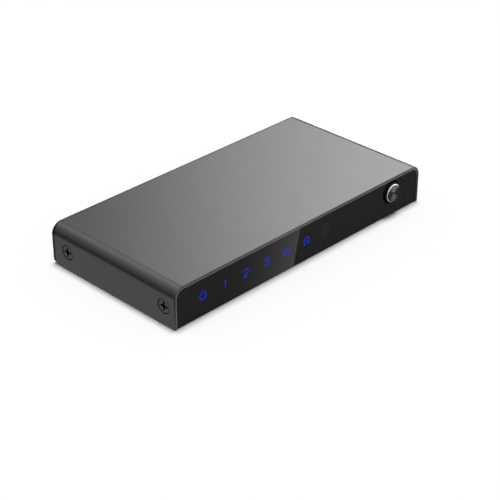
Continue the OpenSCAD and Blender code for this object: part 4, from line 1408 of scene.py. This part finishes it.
def side_card_surface(tree, look):
    """Bright card at the right that fades out towards the rear."""
    fading = along_heading(tree, first=36, last=54, first_level=look.side_card, last_level=0.5)
    ending = along_heading(tree, first=58, last=63, first_level=1.0, last_level=0.3)
    return glow(tree, math_node(tree, "MULTIPLY", fading, ending))


def front_card_surface(tree):
    """Bright low card in front for the button's grooves, weaker towards the right."""
    return glow(tree, along_heading(tree, first=-45, last=-15, first_level=4.0, last_level=1.0))


def build_cards(look):
    """Cards that only reflections show: the floor, the horizon, the left, the front and the right."""
    card_gap = 0.1 * MM
    card_size = 3.0
    horizon_level = 0.08
    above_floor = Matrix.Translation((0, 0, look.floor_level + card_gap))
    mirror_card("floor_card", sheet_shape(card_size, card_size, above_floor), floor_card_surface)
    mirror_card("horizon_card", horizon_shape(), lambda tree: glow(tree, horizon_level))
    left = upright_shape(heading=145, distance=0.8, low=0.0, high=1.5, breadth=1.7)
    mirror_card("left_card", left, left_card_surface)
    front = upright_shape(heading=-38, distance=1.2, low=0.02, high=0.4, breadth=2.24)
    mirror_card("front_card", front, front_card_surface)
    right = upright_shape(heading=20, distance=1.2, low=0.44, high=1.4, breadth=3.4)
    mirror_card("side_card", right, lambda tree: side_card_surface(tree, look))


def build_key(look):
    """Broad light overhead."""
    data = bpy.data.lights.new("Key", "SUN")
    data.energy = look.key
    data.angle = look.key_spread
    key = bpy.data.objects.new("Key", data)
    bpy.context.scene.collection.objects.link(key)
    towards = Vector((math.tan(look.key_lean[0]), math.tan(look.key_lean[1]), 1.0))
    key.rotation_euler = towards.to_track_quat("Z", "Y").to_euler()


def build_world(look):
    """White all round for the camera, mirrors and glass, and a weaker sky for the light itself."""
    world = bpy.data.worlds.new("Studio")
    bpy.context.scene.world = world
    world.use_nodes = True
    tree = world.node_tree
    tree.nodes.clear()
    path = add_node(tree, "ShaderNodeLightPath").outputs
    mirrored = math_node(tree, "MAXIMUM", path["Is Glossy Ray"], path["Is Transmission Ray"])
    seen = math_node(tree, "MAXIMUM", path["Is Camera Ray"], mirrored)
    sky, white = [
        add_node(tree, "ShaderNodeBackground", {"Color": (1, 1, 1, 1), "Strength": level}).outputs[0]
        for level in (look.sky, 1.0)
    ]
    mixed = add_node(tree, "ShaderNodeMixShader", {0: seen, 1: sky, 2: white}).outputs[0]
    add_node(tree, "ShaderNodeOutputWorld", {"Surface": mixed})


def build_camera(look):
    """Camera at the photograph's viewing angle."""
    data = bpy.data.cameras.new("Camera")
    data.lens = look.lens
    data.sensor_width = 36.0
    data.clip_start = 0.01
    camera = bpy.data.objects.new("Camera", data)
    bpy.context.scene.collection.objects.link(camera)
    turn, rise = look.azimuth, look.elevation
    back = Vector((math.sin(turn) * math.cos(rise), -math.cos(turn) * math.cos(rise), math.sin(rise)))
    camera.location = look.camera_place
    camera.rotation_euler = (-back).to_track_quat("-Z", "Y").to_euler()
    bpy.context.scene.camera = camera


class SWITCH_BOX_OT_stage(SwitchBoxOperator, bpy.types.Operator):
    """Build the floor, the light and the camera"""

    bl_idname = "switch_box.stage"
    bl_label = "Stage"

    def execute(self, context):
        look = context.scene.switch_box_stage
        floor_size = 12.0
        floor = sheet_shape(floor_size, floor_size, Matrix.Translation((0, 0, look.floor_level)))
        staged("floor", floor, stage_material("pale_floor", lambda tree: floor_surface(tree, look)))
        build_cards(look)
        build_key(look)
        build_world(look)
        build_camera(look)
        context.scene.view_settings.view_transform = "Standard"
        return {"FINISHED"}


class SWITCH_BOX_PT_sidebar(bpy.types.Panel):
    """Buttons that build each piece, with their sizes and colours"""

    bl_label = "Switch box"
    bl_idname = "SWITCH_BOX_PT_sidebar"
    bl_space_type = "VIEW_3D"
    bl_region_type = "UI"
    bl_category = "Switch box"

    def draw(self, context):
        for operator in OPERATORS:
            self.layout.operator(operator.bl_idname)
        for name in PROPERTY_GROUPS:
            group = getattr(context.scene, name)
            box = self.layout.box()
            box.label(text=group.__doc__)
            for key in group.__annotations__:
                box.prop(group, key)


OPERATORS = (
    SWITCH_BOX_OT_cover,
    SWITCH_BOX_OT_front_panel,
    SWITCH_BOX_OT_signs,
    SWITCH_BOX_OT_button,
    SWITCH_BOX_OT_screws,
    SWITCH_BOX_OT_dome,
    SWITCH_BOX_OT_feet,
    SWITCH_BOX_OT_frame_parts,
    SWITCH_BOX_OT_stage,
)
CLASSES = (*PROPERTY_GROUPS.values(), *OPERATORS, SWITCH_BOX_PT_sidebar)


def register():
    """Register the classes and add the properties to the scene."""
    for cls in CLASSES:
        bpy.utils.register_class(cls)
    for name, group in PROPERTY_GROUPS.items():
        setattr(bpy.types.Scene, name, PointerProperty(type=group))


def unregister():
    """Take the properties and classes away again."""
    for name in PROPERTY_GROUPS:
        delattr(bpy.types.Scene, name)
    for cls in reversed(CLASSES):
        bpy.utils.unregister_class(cls)


def main():
    register()
    for operator in OPERATORS:
        category, name = operator.bl_idname.split(".")
        getattr(getattr(bpy.ops, category), name)()


if __name__ == "__main__":
    main()
